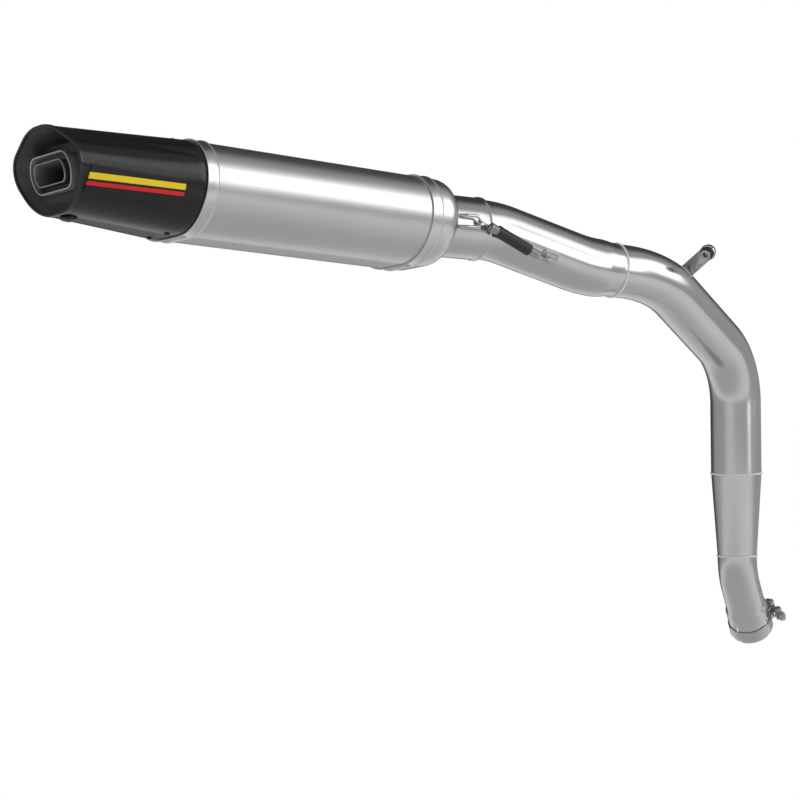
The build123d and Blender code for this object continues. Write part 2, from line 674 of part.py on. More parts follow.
# ---------------------------------------------------------------- write the nodes
nodes = {
    "front_bend_tube": front_bend_tube(),
    "main_bend_tube": main_bend_tube(),
    "reducer_cone": reducer_cone(),
    "header_socket_tube": header_socket_tube(),
    "pipe_weld_beads": weld_beads(),
    "pipe_spring_hooks": [pipe_hook(side) for side in (1, -1)],
    "hanger_strap": hanger_strap(),
    "hanger_grommet": hanger_grommet(),
    "hanger_sleeve": hanger_sleeve(),
    "near_spring": spring(1),
    "far_spring": spring(-1),
    "near_spring_sleeve": spring_sleeve(1),
    "far_spring_sleeve": spring_sleeve(-1),
    "clamp_band": clamp_band(),
    "clamp_trunnions": clamp_trunnions(),
    "clamp_bolt": clamp_bolt(),
    "clamp_nut": clamp_nut(),
    "outer_sleeve": outer_sleeve(),
    "rear_band": band(REAR_X),
    "front_band": band(front_x - BAND_WIDTH),
    "rear_band_rivets": band_rivets(REAR_X + BAND_WIDTH / 2),
    "front_band_rivets": band_rivets(front_x - BAND_WIDTH / 2),
    "cap_rivets": cap_rivets(),
    "end_cap": end_cap(),
    "end_cap_rim": end_cap_rim(),
    "badge_plate": badge_plate(),
    "outlet_funnel": outlet_funnel(),
    "outlet_ring": outlet_ring(),
    "insert_screw_boss": insert_screw_boss(),
    "tail_tube": tail_tube(),
    "rear_bulkhead": bulkhead(rear_plate_x),
    "front_bulkhead": bulkhead(front_plate_x),
    "perforated_core": perforated_core(),
    "packing_wool": packing_wool(),
    "inlet_cap": inlet_cap(),
    "inlet_stub": inlet_stub(),
    "inlet_weld": stub_weld(),
    "stub_spring_eyes": [stub_eye(side) for side in (1, -1)],
    "noise_insert": noise_insert(),
    "insert_screw": insert_screw(),
}

for name, shape in nodes.items():
    if isinstance(shape, list):
        shape = Compound(children=[s.solid() if hasattr(s, "solid") else s for s in shape])
    export_step(shape, f"parts/{name}.step")
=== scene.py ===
# %% [markdown]
# # A racing exhaust, from the imported CAD frame to a finished visual model
#
# The CAD frame holds every solid at its true size, with the joints that move them.
# Blender's work is the look: cleaner surfaces, real coils and weld beads, brushed
# titanium and carbon cloth. The first cell loads the frame. The visual model has to
# stay inside it.

# %% Load the frame
import math

import bmesh
import bpy
import numpy as np
from mathutils import Matrix, Vector
from mathutils.geometry import tessellate_polygon


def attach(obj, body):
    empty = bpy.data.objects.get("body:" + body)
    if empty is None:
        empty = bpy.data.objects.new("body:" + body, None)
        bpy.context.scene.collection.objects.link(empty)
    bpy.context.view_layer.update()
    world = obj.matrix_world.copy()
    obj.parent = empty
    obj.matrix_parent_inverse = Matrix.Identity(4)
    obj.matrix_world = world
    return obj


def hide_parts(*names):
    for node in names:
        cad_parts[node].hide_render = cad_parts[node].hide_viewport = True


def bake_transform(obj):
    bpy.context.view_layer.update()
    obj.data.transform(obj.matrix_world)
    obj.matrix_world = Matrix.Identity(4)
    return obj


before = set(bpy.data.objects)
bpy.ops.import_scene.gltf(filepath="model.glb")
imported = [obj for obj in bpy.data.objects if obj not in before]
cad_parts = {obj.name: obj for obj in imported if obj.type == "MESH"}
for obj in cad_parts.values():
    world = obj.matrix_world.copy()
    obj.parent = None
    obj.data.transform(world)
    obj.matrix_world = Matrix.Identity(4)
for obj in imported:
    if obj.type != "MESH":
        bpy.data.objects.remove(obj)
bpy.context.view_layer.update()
MM = 0.001

# %% [markdown]
# ## Camera
# A long lens keeps the silencer's far end from shrinking too much. The camera is placed
# by its own right, up and backward axes, which says more about the view than three
# Euler angles would.

# %% Camera
CAMERA_AT = Vector((-2.23008, -1.97753, -0.01954))
CAMERA_RIGHT = Vector((0.76462, -0.64445, -0.00662))
CAMERA_UP = Vector((-0.06105, -0.08265, 0.99471))
CAMERA_BACK = Vector((-0.64159, -0.76016, -0.10254))

camera_data = bpy.data.cameras.new("camera")
camera_data.lens = 108
camera_data.sensor_width = 36
camera_data.clip_end = 200
camera = bpy.data.objects.new("camera", camera_data)
bpy.context.scene.collection.objects.link(camera)
turned = Matrix((CAMERA_RIGHT, CAMERA_UP, CAMERA_BACK)).transposed().to_4x4()
camera.matrix_world = Matrix.Translation(CAMERA_AT) @ turned
bpy.context.scene.camera = camera
print("camera: 108 mm lens,", round(CAMERA_AT.length, 2), "m from the header")

# %% [markdown]
# ## Writing node trees as expressions
# A node tree is easier to read as arithmetic. `Wire` wraps one output socket, and its
# operators add Math nodes. `Tree.node` makes every other node: its settings first, then
# the values or wires of its inputs.


# %% Wires and trees
class Wire:
    """One output of a node, with arithmetic."""

    def __init__(self, tree, socket):
        self.tree = tree
        self.socket = socket

    def math(self, operation, *others):
        inputs = dict(enumerate((self, *others)))
        return self.tree.node("ShaderNodeMath", {"operation": operation}, inputs)

    def __add__(self, other):
        return self.math("ADD", other)

    def __sub__(self, other):
        return self.math("SUBTRACT", other)

    def __rsub__(self, other):
        return self.tree.node("ShaderNodeMath", {"operation": "SUBTRACT"}, {0: other, 1: self})

    def __mul__(self, other):
        return self.math("MULTIPLY", other)

    def __truediv__(self, other):
        return self.math("DIVIDE", other)

    def __lt__(self, other):
        return self.math("LESS_THAN", other)

    def __gt__(self, other):
        return self.math("GREATER_THAN", other)

    __radd__ = __add__
    __rmul__ = __mul__


class Tree:
    """A node tree and the one way to add a node to it."""

    def __init__(self, nodes):
        self.nodes = nodes

    def node(self, kind, settings=None, inputs=None, output=0):
        made = self.nodes.nodes.new(kind)
        for key, value in (settings or {}).items():
            setattr(made, key, value)
        for key, value in (inputs or {}).items():
            self.plug(made.inputs[key], value)
        return Wire(self, made.outputs[output])

    def plug(self, socket, value):
        if isinstance(value, Wire):
            self.nodes.links.new(value.socket, socket)
        else:
            socket.default_value = value

    def mix(self, factor, low, high):
        """Between two colours."""
        colours = {0: factor, 6: low, 7: high}
        return self.node("ShaderNodeMix", {"data_type": "RGBA"}, colours, output=2)

    def split(self, vector):
        parts = self.node("ShaderNodeSeparateXYZ", inputs={0: vector})
        return [Wire(self, s) for s in parts.socket.node.outputs]

    def join(self, x, y, z):
        return self.node("ShaderNodeCombineXYZ", inputs={0: x, 1: y, 2: z})

    def noise(self, vector, scale, detail=2.0, roughness=0.5):
        sizes = {"Vector": vector, "Scale": scale, "Detail": detail, "Roughness": roughness}
        return self.node("ShaderNodeTexNoise", inputs=sizes)

    def bump(self, height, strength, distance):
        sizes = {"Height": height, "Strength": strength, "Distance": distance}
        return self.node("ShaderNodeBump", inputs=sizes)


def grey(value):
    return (value, value, value, 1)


def rgb(red, green, blue):
    return (red, green, blue, 1)


# %% [markdown]
# ## Materials
# Every finish is procedural. A function opens a material, its body works out the parts
# that vary, and the constants go straight on the shader's own sockets. Patterns that
# follow a surface read its UV map, which is laid out in metres: U runs round the piece
# and V runs along it.


# %% Opening a material
def material(name, constants):
    made = bpy.data.materials.new(name)
    made.use_nodes = True
    tree = Tree(made.node_tree)
    shader = made.node_tree.nodes["Principled BSDF"]
    for key, value in constants.items():
        shader.inputs[key].default_value = value
    return made, tree, shader


def uv_parts(tree):
    return tree.split(tree.node("ShaderNodeTexCoord", output=2))


def object_place(tree):
    return tree.node("ShaderNodeTexCoord", output=3)


# %% [markdown]
# Brushed titanium is bare metal with fine parallel scratches. They run round a part that
# was brushed while it turned, and along a tube that was drawn and then polished by hand.
# Noise that is stretched a hundred times in one direction gives the scratches, and slow
# noise gives the soft clouds that handling leaves.


# %% Brushed titanium
def brushed(name, light, dark, roughness, round_scale, along_scale, depth):
    made, tree, shader = material(name, {"Metallic": 1.0})
    around, along, _ = uv_parts(tree)
    scratch = tree.noise(tree.join(around * round_scale, along * along_scale, 0.0), 1.0, 3, 0.6)
    cloud = tree.noise(object_place(tree), 14.0, 2, 0.5)
    tree.plug(shader.inputs["Base Color"], tree.mix(scratch * 0.6 + cloud * 0.4, dark, light))
    rough = (scratch - 0.5) * 0.10 + (cloud - 0.5) * 0.06 + roughness
    tree.plug(shader.inputs["Roughness"], rough)
    tree.plug(shader.inputs["Normal"], tree.bump(scratch, depth, 0.0002))
    return made


tube_titanium = brushed(
    "tube_titanium", rgb(0.60, 0.60, 0.61), rgb(0.50, 0.50, 0.52), 0.20, 900.0, 60.0, 0.03
)
sleeve_titanium = brushed(
    "sleeve_titanium", rgb(0.60, 0.60, 0.61), rgb(0.48, 0.48, 0.50), 0.30, 30.0, 3000.0, 0.10
)
band_titanium = brushed(
    "band_titanium", rgb(0.66, 0.66, 0.67), rgb(0.54, 0.54, 0.56), 0.26, 40.0, 1500.0, 0.06
)
print("titanium: tube, sleeve and band finishes")

# %% [markdown]
# Carbon cloth is a 2/2 twill: each tow passes over two and under two, and the step moves
# one tow along on every row, which draws the diagonal. Whole-number steps of U and V name
# the tow, their sum modulo four says which one is on top, and a sine across the tow
# rounds it. A thick clear coat lies over it.

# %% Carbon cloth
TOW = 0.0011


def carbon_cloth():
    constants = {"Coat Weight": 0.5, "Coat Roughness": 0.04, "Specular IOR Level": 0.12}
    made, tree, shader = material("carbon_cloth", constants)
    around, along, _ = uv_parts(tree)
    across, down = around / TOW, along / TOW
    step = (across.math("FLOOR") + down.math("FLOOR")).math("FLOORED_MODULO", 4.0)
    on_top = step < 1.5
    warp = (across.math("FRACT") * math.pi).math("SINE")
    weft = (down.math("FRACT") * math.pi).math("SINE")
    crown = warp * on_top + weft * (1.0 - on_top)
    fibre_warp = tree.noise(tree.join(around * 9000.0, along * 500.0, 0.0), 1.0)
    fibre_weft = tree.noise(tree.join(around * 500.0, along * 9000.0, 0.0), 1.0)
    fibre = fibre_warp * on_top + fibre_weft * (1.0 - on_top)
    bright = (on_top * 0.6 + 0.4) * crown * (fibre * 0.6 + 0.55)
    colour = tree.mix(bright, grey(0.0015), rgb(0.016, 0.016, 0.018))
    tree.plug(shader.inputs["Base Color"], colour)
    tree.plug(shader.inputs["Roughness"], 0.5 - on_top * 0.14)
    tree.plug(shader.inputs["Normal"], tree.bump(crown, 0.18, 0.0002))
    return made


carbon = carbon_cloth()
print("carbon: tows", TOW * 1000, "mm wide")

# %% [markdown]
# The remaining finishes share one recipe. Slow noise varies the colour and the
# roughness, and fine noise raises a grain. Brighter edges, a painted highlight, come from
# an `edge` attribute that some pieces carry, which is zero where it is missing.


# %% Grained finishes
def grained(name, low, high, roughness, spread, metallic, scale, depth, edge=None, **constants):
    made, tree, shader = material(name, {"Metallic": metallic, **constants})
    place = object_place(tree)
    slow = tree.noise(place, scale * 0.06, 3, 0.6)
    fine = tree.noise(place, scale, 2, 0.6)
    colour = tree.mix(slow, low, high)
    if edge:
        # Painted highlight: where the edge attribute is set, the lighter edge colour is mixed in.
        painted_edge_highlight = tree.node("ShaderNodeAttribute", {"attribute_name": "edge"}, output=2)
        colour = tree.mix(painted_edge_highlight, colour, edge)
    tree.plug(shader.inputs["Base Color"], colour)
    tree.plug(shader.inputs["Roughness"], (slow - 0.5) * spread + (fine - 0.5) * spread + roughness)
    tree.plug(shader.inputs["Normal"], tree.bump(fine, depth, 0.0003))
    return made


# The edge colour here is a painted highlight, shown only on pieces that carry the edge attribute.
black_trim = grained(
    "black_trim", grey(0.006), grey(0.012), 0.16, 0.10, 0.0, 900.0, 0.03, edge=grey(0.03)
)
# Painted highlight: the lighter edge colour brightens the lips of pieces that carry the edge attribute.
dark_coating = grained(
    "dark_coating", grey(0.035), grey(0.06), 0.36, 0.16, 0.6, 1500.0, 0.10, edge=grey(0.42)
)
rubber = grained("rubber", grey(0.010), grey(0.022), 0.55, 0.16, 0.0, 1800.0, 0.25)
steel = grained("steel", grey(0.42), grey(0.58), 0.24, 0.12, 1.0, 1600.0, 0.05)
spring_wire = grained("spring_wire", grey(0.34), grey(0.52), 0.18, 0.08, 1.0, 2500.0, 0.04)
black_steel = grained("black_steel", grey(0.012), grey(0.022), 0.38, 0.18, 0.4, 1500.0, 0.10)
weld_metal = grained(
    "weld_metal", rgb(0.22, 0.21, 0.21), rgb(0.42, 0.41, 0.40), 0.38, 0.22, 1.0, 900.0, 0.10
)
inner_steel = grained("inner_steel", grey(0.30), grey(0.46), 0.42, 0.20, 1.0, 700.0, 0.12)
wool = grained(
    "wool", rgb(0.50, 0.46, 0.34), rgb(0.78, 0.74, 0.60), 0.92, 0.06, 0.0, 1400.0, 0.8
)
print("finishes:", len(bpy.data.materials), "materials")

# %% [markdown]
# ## Outlines and paths
# Nearly every part of an exhaust is a run of straight lines joined by round bends: the
# tubes in space, the silencer's rounded hexagon, and the sections of bands and trims.
# One function rounds them all. All sizes from here on are millimetres, and the mesh
# builder turns them into metres.


# %% Rounding corners
def rounded(corners, radii, steps=10, closed=False):
    """Points along straight runs joined by arcs of the given radii."""
    points = [Vector(c).to_3d() for c in corners]
    count = len(points)
    bends = range(count) if closed else range(1, count - 1)
    radii = list(radii) if isinstance(radii, (list, tuple)) else [radii] * len(bends)
    line = [] if closed else [points[0]]
    for radius, i in zip(radii, bends):
        here = points[i]
        back = (points[i - 1] - here).normalized()
        ahead = (points[(i + 1) % count] - here).normalized()
        inside = back.angle(ahead)
        centre = here + (back + ahead).normalized() * (radius / math.sin(inside / 2))
        start = here + back * (radius / math.tan(inside / 2))
        spoke = start - centre
        for k in range(steps + 1):
            turn = (math.pi - inside) * k / steps
            line.append(centre + spoke * math.cos(turn) - back * radius * math.sin(turn))
    if not closed:
        line.append(points[-1])
    return line


def spaced(line, gap):
    """The same line with points added so that no two are further apart than gap."""
    result = [line[0]]
    for a, b in zip(line, line[1:]):
        pieces = max(1, math.ceil((b - a).length / gap))
        result += [a.lerp(b, k / pieces) for k in range(1, pieces + 1)]
    return result


# %% [markdown]
# ## From rings of points to a mesh
# A tube, a shell, a band and a turned part are all a set of rings, each with the same
# number of points, joined by strips of quads. `skin` builds that mesh, writes the UV map
# in metres and turns the faces outwards by the sign of the enclosed volume.


# %% Skinning rings
def finish_mesh(name, mesh, finish, angle=35):
    """Merges doubles, turns the faces outwards, shades smooth and links the object."""
    shape = bmesh.new()
    shape.from_mesh(mesh)
    bmesh.ops.remove_doubles(shape, verts=shape.verts, dist=1e-7)
    bmesh.ops.dissolve_degenerate(shape, edges=shape.edges, dist=1e-7)
    if shape.calc_volume(signed=True) < 0:
        bmesh.ops.reverse_faces(shape, faces=shape.faces)
    shape.to_mesh(mesh)
    shape.free()
    mesh.shade_smooth()
    mesh.set_sharp_from_angle(angle=math.radians(angle))
    mesh.materials.clear()
    mesh.materials.append(finish)
    thing = bpy.data.objects.new(name, mesh)
    bpy.context.scene.collection.objects.link(thing)
    return thing


def skin(name, rings, finish, loop=False, angle=35, edge=None):
    """Quads between rings. loop joins the last ring to the first."""
    rings = np.array([[tuple(p) for p in ring] for ring in rings], float)
    rows, columns = rings.shape[:2]
    widest = rings[np.argmax([np.linalg.norm(np.diff(r, axis=0), axis=1).sum() for r in rings])]
    steps = np.linalg.norm(np.roll(widest, -1, axis=0) - widest, axis=1)
    around = np.concatenate([[0], np.cumsum(steps)]) * MM
    runs = np.linalg.norm(np.roll(rings, -1, axis=0) - rings, axis=2).mean(axis=1)
    along = np.concatenate([[0], np.cumsum(runs)]) * MM
    faces, uvs = [], []
    for i in range(rows if loop else rows - 1):
        below = (i + 1) % rows
        for j in range(columns):
            right = (j + 1) % columns
            faces.append(
                (i * columns + j, i * columns + right, below * columns + right, below * columns + j)
            )
            uvs += [
                (around[j], along[i]),
                (around[j + 1], along[i]),
                (around[j + 1], along[i + 1]),
                (around[j], along[i + 1]),
            ]
    mesh = bpy.data.meshes.new(name)
    mesh.from_pydata((rings.reshape(-1, 3) * MM).tolist(), [], faces)
    layer = mesh.uv_layers.new(name="UVMap")
    layer.data.foreach_set("uv", np.array(uvs, np.float32).ravel())
    if edge is not None:
        # The edge attribute carries a painted highlight, one value for each ring.
        painted_edge_highlight = mesh.attributes.new("edge", "FLOAT", "POINT")
        painted_edge_highlight.data.foreach_set("value", np.repeat(np.array(edge, np.float32), columns))
    return finish_mesh(name, mesh, finish, angle)


# %% [markdown]
# Two kinds of ring are needed most. A circle is carried along a line without twisting,
# by turning its frame only as much as the line turns. A turned part is the same circle
# with its radius and place read from a profile.


# %% Circles along a line, and turned parts
def square_to(direction, across=None):
    """Two unit vectors at right angles to a direction."""
    across = across or (Vector((0, 0, 1)) if abs(direction.z) < 0.9 else Vector((1, 0, 0)))
    first = (across - direction * across.dot(direction)).normalized()
    return first, direction.cross(first)


def tangents(line):
    ends = [line[0]] + line + [line[-1]]
    return [(b - a).normalized() for a, b in zip(ends, ends[2:])]


def circles(line, radii, count=96):
    """Circles of the given radii, square to a line and free of twist."""
    radii = radii if isinstance(radii, list) else [radii] * len(line)
    rings = []
    first = None
    for point, direction, radius in zip(line, tangents(line), radii):
        first, second = square_to(direction, first)
        turns = [2 * math.pi * k / count for k in range(count)]
        rings.append([point + (first * math.cos(t) + second * math.sin(t)) * radius for t in turns])
    return rings


def tube(name, line, outer, wall, finish, count=96):
    """A tube with both its walls and square ends."""
    outer = outer if isinstance(outer, list) else [outer] * len(line)
    outside = circles(line, outer, count)
    inside = circles(line, [r - wall for r in outer], count)
    return skin(name, outside + inside[::-1], finish, loop=True)


def turned_part(name, profile, base, axis, finish, count=48, across=None, angle=35):
    """A part turned on a lathe: profile is a closed line of (radius, height)."""
    axis = axis.normalized()
    first, second = square_to(axis, across)
    rings = []
    for radius, height, *_ in profile:
        turns = [2 * math.pi * k / count for k in range(count)]
        centre = base + axis * height
        rings.append([centre + (first * math.cos(t) + second * math.sin(t)) * radius for t in turns])
    return skin(name, rings, finish, loop=True, angle=angle)


def soft_ring(inner, outer, low, high, soft):
    """The section of a sleeve with softened corners."""
    corners = [(inner, low), (outer, low), (outer, high), (inner, high)]
    return rounded(corners, soft, steps=3, closed=True)


# %% [markdown]
# Flat parts with holes, such as the hanger strap, are cut from plate. Their edges get a
# small round from a few extra rings, and the two faces are filled by triangles between
# the outline and its holes.


# %% Cut plate
def plate_mesh(outline, thick, holes=(), edge=0.25):
    """Vertices and faces of a plate in its own X-Y plane, centred on Z."""
    vertices, faces = [], []
    caps = {-1: [], 1: []}
    for number, loop in enumerate([outline, *holes]):
        flat = [Vector((p[0], p[1])) for p in loop]
        count = len(flat)
        area = sum(flat[i - 1].x * flat[i].y - flat[i].x * flat[i - 1].y for i in range(count))
        if (area > 0) == (number > 0):
            flat.reverse()
        normals = []
        for i in range(count):
            before = (flat[i] - flat[i - 1]).normalized()
            after = (flat[(i + 1) % count] - flat[i]).normalized()
            out = Vector((before.y + after.y, -before.x - after.x)).normalized()
            normals.append(out / max(0.5, out.dot(Vector((after.y, -after.x)))))
        levels = []
        for side in (-1, 1):
            for turn in (0, 45, 90)[::side]:
                sink = edge * (1 - math.cos(math.radians(turn)))
                height = side * (thick / 2 - edge + edge * math.sin(math.radians(turn)))
                levels.append((height, sink))
        start = len(vertices)
        for height, sink in levels:
            for point, normal in zip(flat, normals):
                place = point - normal * sink
                vertices.append((place.x, place.y, height))
        for i in range(len(levels) - 1):
            for j in range(count):
                right = (j + 1) % count
                low, high = start + i * count, start + (i + 1) * count
                faces.append((low + j, low + right, high + right, high + j))
        caps[-1].append(list(range(start, start + count)))
        caps[1].append(list(range(start + (len(levels) - 1) * count, start + len(levels) * count)))
    for side, loops in caps.items():
        order = sum(loops, [])
        places = [[Vector(vertices[i]) for i in loop] for loop in loops]
        for triangle in tessellate_polygon(places):
            a, b, c = (order[i] for i in triangle)
            up = (Vector(vertices[b]) - Vector(vertices[a])).cross(
                Vector(vertices[c]) - Vector(vertices[a])
            )
            faces.append((a, b, c) if up.z * side > 0 else (c, b, a))
    return vertices, faces


def plate(name, outline, thick, origin, normal, across, finish, holes=(), edge=0.25):
    vertices, faces = plate_mesh(outline, thick, holes, edge)
    normal = normal.normalized()
    first, second = square_to(normal, across)
    placed = [(origin + first * x + second * y + normal * z) * MM for x, y, z in vertices]
    mesh = bpy.data.meshes.new(name)
    mesh.from_pydata(placed, [], faces)
    return finish_mesh(name, mesh, finish)


def circle_points(radius, count=32, at=(0, 0)):
    turns = [2 * math.pi * k / count for k in range(count)]
    return [(at[0] + radius * math.cos(t), at[1] + radius * math.sin(t)) for t in turns]


def hexagon_points(across_flats, soft=0.6):
    reach = across_flats / math.sqrt(3)
    return rounded(circle_points(reach, 6), soft, steps=3, closed=True)


# %% [markdown]
# Some details are easiest to cut away: a slot in a socket, a hexagon in a screw head.
# A cutter's shape is taken out with a Boolean modifier, which is applied at once so that
# the finished piece has none.


# %% Cutting, joining, riding
def plain(thing):
    """The object's evaluated mesh, with its modifiers applied and removed."""
    bpy.context.view_layer.update()
    graph = bpy.context.evaluated_depsgraph_get()
    mesh = bpy.data.meshes.new_from_object(thing.evaluated_get(graph))
    thing.modifiers.clear()
    thing.data = mesh
    return thing


def cut(thing, *cutters):
    for cutter in cutters:
        change = thing.modifiers.new("cut", "BOOLEAN")
        change.operation = "DIFFERENCE"
        change.solver = "EXACT"
        change.object = cutter
    plain(thing)
    for cutter in cutters:
        bpy.data.objects.remove(cutter)
    thing.data.set_sharp_from_angle(angle=math.radians(30))
    return thing


def joined(name, things):
    """One object from several, with its place in its mesh."""
    shape = bmesh.new()
    for thing in things:
        shape.from_mesh(thing.data)
    mesh = bpy.data.meshes.new(name)
    shape.to_mesh(mesh)
    shape.free()
    mesh.materials.append(things[0].data.materials[0])
    for thing in things:
        bpy.data.objects.remove(thing)
    result = bpy.data.objects.new(name, mesh)
    bpy.context.scene.collection.objects.link(result)
    return result


def settle(thing, body, finish_slot, *nodes):
    """Ties a finished piece to its body and hides the CAD nodes it replaces; finish_slot is not used."""
    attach(thing, body)
    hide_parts(*nodes)
    print(thing.name, "rides on", body, "with", len(thing.data.polygons), "faces")
    return thing


# %% [markdown]
# ## Geometry Nodes: things set on points
# Rivets and the ripples of a weld both repeat one small shape on many points. Each point
# carries a direction. The tree copies a rounded shape to every point, turns it to that
# direction, varies its size a little from a fixed seed, and ends in Realize Instances and
# Set Material.


# %% A tree that sets a shape on points
def node_group(name, sizes):
    """A geometry tree with a Geometry, a Material and the named number inputs."""
    group = bpy.data.node_groups.new(name, "GeometryNodeTree")
    face = group.interface
    face.new_socket("Geometry", in_out="INPUT", socket_type="NodeSocketGeometry")
    face.new_socket("Finish", in_out="INPUT", socket_type="NodeSocketMaterial")
    for size in sizes:
        face.new_socket(size, in_out="INPUT", socket_type="NodeSocketFloat")
    face.new_socket("Geometry", in_out="OUTPUT", socket_type="NodeSocketGeometry")
    tree = Tree(group)
    entry = group.nodes.new("NodeGroupInput")
    wires = {s.name: Wire(tree, s) for s in entry.outputs if s.name}
    return group, tree, wires


def close_group(group, tree, geometry, finish):
    """The end of every tree: real geometry with its material."""
    real = tree.node("GeometryNodeRealizeInstances", inputs={0: geometry})
    smooth = tree.node("GeometryNodeSetShadeSmooth", inputs={0: real})
    painted = tree.node("GeometryNodeSetMaterial", inputs={0: smooth, "Material": finish})
    exit_node = group.nodes.new("NodeGroupOutput")
    tree.plug(exit_node.inputs[0], painted)


def run_group(name, group, base, finish, sizes):
    """Runs a tree on a base mesh and returns the plain result."""
    thing = bpy.data.objects.new(name, base)
    bpy.context.scene.collection.objects.link(thing)
    change = thing.modifiers.new("build", "NODES")
    change.node_group = group
    for item in group.interface.items_tree:
        if item.in_out == "INPUT" and item.name in sizes:
            change[item.identifier] = sizes[item.name]
        if item.in_out == "INPUT" and item.name == "Finish":
            change[item.identifier] = finish
    return plain(thing)


def points_mesh(name, places, directions):
    """Loose points that carry a direction each."""
    mesh = bpy.data.meshes.new(name)
    mesh.from_pydata([p * MM for p in places], [], [])
    heading = mesh.attributes.new("heading", "FLOAT_VECTOR", "POINT")
    heading.data.foreach_set("vector", np.array([tuple(d) for d in directions], np.float32).ravel())
    return mesh


def stamp_group(name, flat_under):
    """Sets a rounded shape on every point, its Z along the point's heading."""
    group, tree, wires = node_group(name, ("Width", "Height", "Vary", "Seed"))
    ball = tree.node(
        "GeometryNodeMeshUVSphere", inputs={"Segments": 16, "Rings": 9, "Radius": 1.0}
    )
    place = tree.node("GeometryNodeInputPosition")
    x, y, z = tree.split(place)
    if flat_under:
        z = z.math("MAXIMUM", 0.0) + z.math("MINIMUM", 0.0) * 0.3
    shape = tree.node(
        "GeometryNodeSetPosition",
        inputs={0: ball, "Position": tree.join(x * wires["Width"], y * wires["Width"], z * wires["Height"])},
    )
    heading = tree.node("GeometryNodeInputNamedAttribute", {"data_type": "FLOAT_VECTOR"}, {0: "heading"})
    turn = tree.node("FunctionNodeAlignRotationToVector", {"axis": "Z"}, {"Vector": heading})
    size = tree.node(
        "FunctionNodeRandomValue",
        {"data_type": "FLOAT"},
        {2: 1.0 - wires["Vary"], 3: 1.0 + wires["Vary"], "Seed": wires["Seed"]},
        output=1,
    )
    copies = tree.node(
        "GeometryNodeInstanceOnPoints",
        inputs={0: wires["Geometry"], "Instance": shape, "Rotation": turn, "Scale": size},
    )
    close_group(group, tree, copies, wires["Finish"])
    return group


rivet_group = stamp_group("rivet_heads", flat_under=True)
bead_group = stamp_group("weld_ripples", flat_under=False)


def rivets(name, places, ups, width, height, finish):
    sizes = {"Width": width * MM, "Height": height * MM, "Vary": 0.0, "Seed": 1}
    return run_group(name, rivet_group, points_mesh(name, places, ups), finish, sizes)


def weld_ripples(name, line, width, finish=None):
    """Overlapping rounds along a line, each turned to the line's direction."""
    sizes = {"Width": width * MM, "Height": width * 0.75 * MM, "Vary": 0.12, "Seed": 7}
    return run_group(name, bead_group, points_mesh(name, line, tangents(line)), finish or weld_metal, sizes)


print("trees: rivet heads and weld ripples")

# %% [markdown]
# ## The link pipe
# Four tubes are welded end to end. Each is bent round a former, so its section stays
# round and its centre line is straight runs and arcs. Carrying circles along that line
# gives both walls at once. The sizes are those of the CAD model.

# %% The pipe's route
MOUTH = Vector((0, 0, 0))
LOWER_CORNER = Vector((-58.5, -30.6, 66.1))
UPPER_CORNER = Vector((-85.2, -57.8, 317.3))
REAR_CORNER = Vector((-268.5, -108.5, 397.0))
FRONT_CORNER = Vector((-369.1, -90.0, 401.5))
STUB_START = Vector((-572, -51.3, 432.6))
STUB_YAW = math.radians(8)
STUB_DIR = Vector((math.cos(STUB_YAW), -math.sin(STUB_YAW), 0))
STUB_CORNER = STUB_START + STUB_DIR * 91
FRONT_RUN = (REAR_CORNER - FRONT_CORNER).normalized()
DOWN_RUN = (LOWER_CORNER - UPPER_CORNER).normalized()
MOUTH_DIR = (MOUTH - LOWER_CORNER).normalized()
FRONT_TUBE_R, MAIN_TUBE_R, HEADER_TUBE_R = 32.5, 30.0, 23.4
SOCKET_R, SOCKET_BORE_R = 25.2, 23.6
WALL = 1.2
WELD_1_AT, WELD_2_AT, WELD_3_AT = 41, 133, 22
REAR_BEND_R, UPPER_BEND_R, LOWER_BEND_R = 160, 85, 60
STUB_BEND_R, FRONT_BEND_R = 125, 150
WELD_1 = FRONT_CORNER + FRONT_RUN * WELD_1_AT
WELD_2 = UPPER_CORNER + DOWN_RUN * WELD_2_AT
WELD_3 = LOWER_CORNER - DOWN_RUN * WELD_3_AT
main_corners = [WELD_1, REAR_CORNER, UPPER_CORNER, WELD_2]
MAIN_LINE = spaced(rounded(main_corners, [REAR_BEND_R, UPPER_BEND_R], steps=24), 12)

# %% Tubes
slip_end = STUB_START + STUB_DIR * 28
front_corners = [slip_end, STUB_CORNER, FRONT_CORNER, WELD_1 - FRONT_RUN * 24]
front_line = spaced(rounded(front_corners, [STUB_BEND_R, FRONT_BEND_R], steps=20), 12)
neck_line = [WELD_1 - FRONT_RUN * back for back in (18, 12, 5, 2.5, 0.05)]
neck_radii = [31.9, 30.9, 30.0, 30.0, 30.0]
front_tube = tube(
    "front_tube", front_line + neck_line, [FRONT_TUBE_R] * len(front_line) + neck_radii, WALL, tube_titanium
)
settle(front_tube, "link_pipe", "tube_titanium", "front_bend_tube")

main_line = [MAIN_LINE[0] + FRONT_RUN * 0.05] + MAIN_LINE[1:-1] + [MAIN_LINE[-1] - DOWN_RUN * 0.05]
main_tube = tube("main_tube", main_line, MAIN_TUBE_R, WALL, tube_titanium)
settle(main_tube, "link_pipe", "tube_titanium", "main_bend_tube")

cone_line = spaced([WELD_2 + DOWN_RUN * 0.05, WELD_3 - DOWN_RUN * 0.05], 8)
cone_radii = [
    MAIN_TUBE_R + (HEADER_TUBE_R - MAIN_TUBE_R) * k / (len(cone_line) - 1) for k in range(len(cone_line))
]
cone = tube("reducer", cone_line, cone_radii, WALL, tube_titanium)
settle(cone, "link_pipe", "tube_titanium", "reducer_cone")

# %% [markdown]
# The lower end is opened out on a mandrel until it slides over the header pipe, then
# slit in four places so that the clamp can close it. The slits have round ends, which
# keep the metal from tearing.

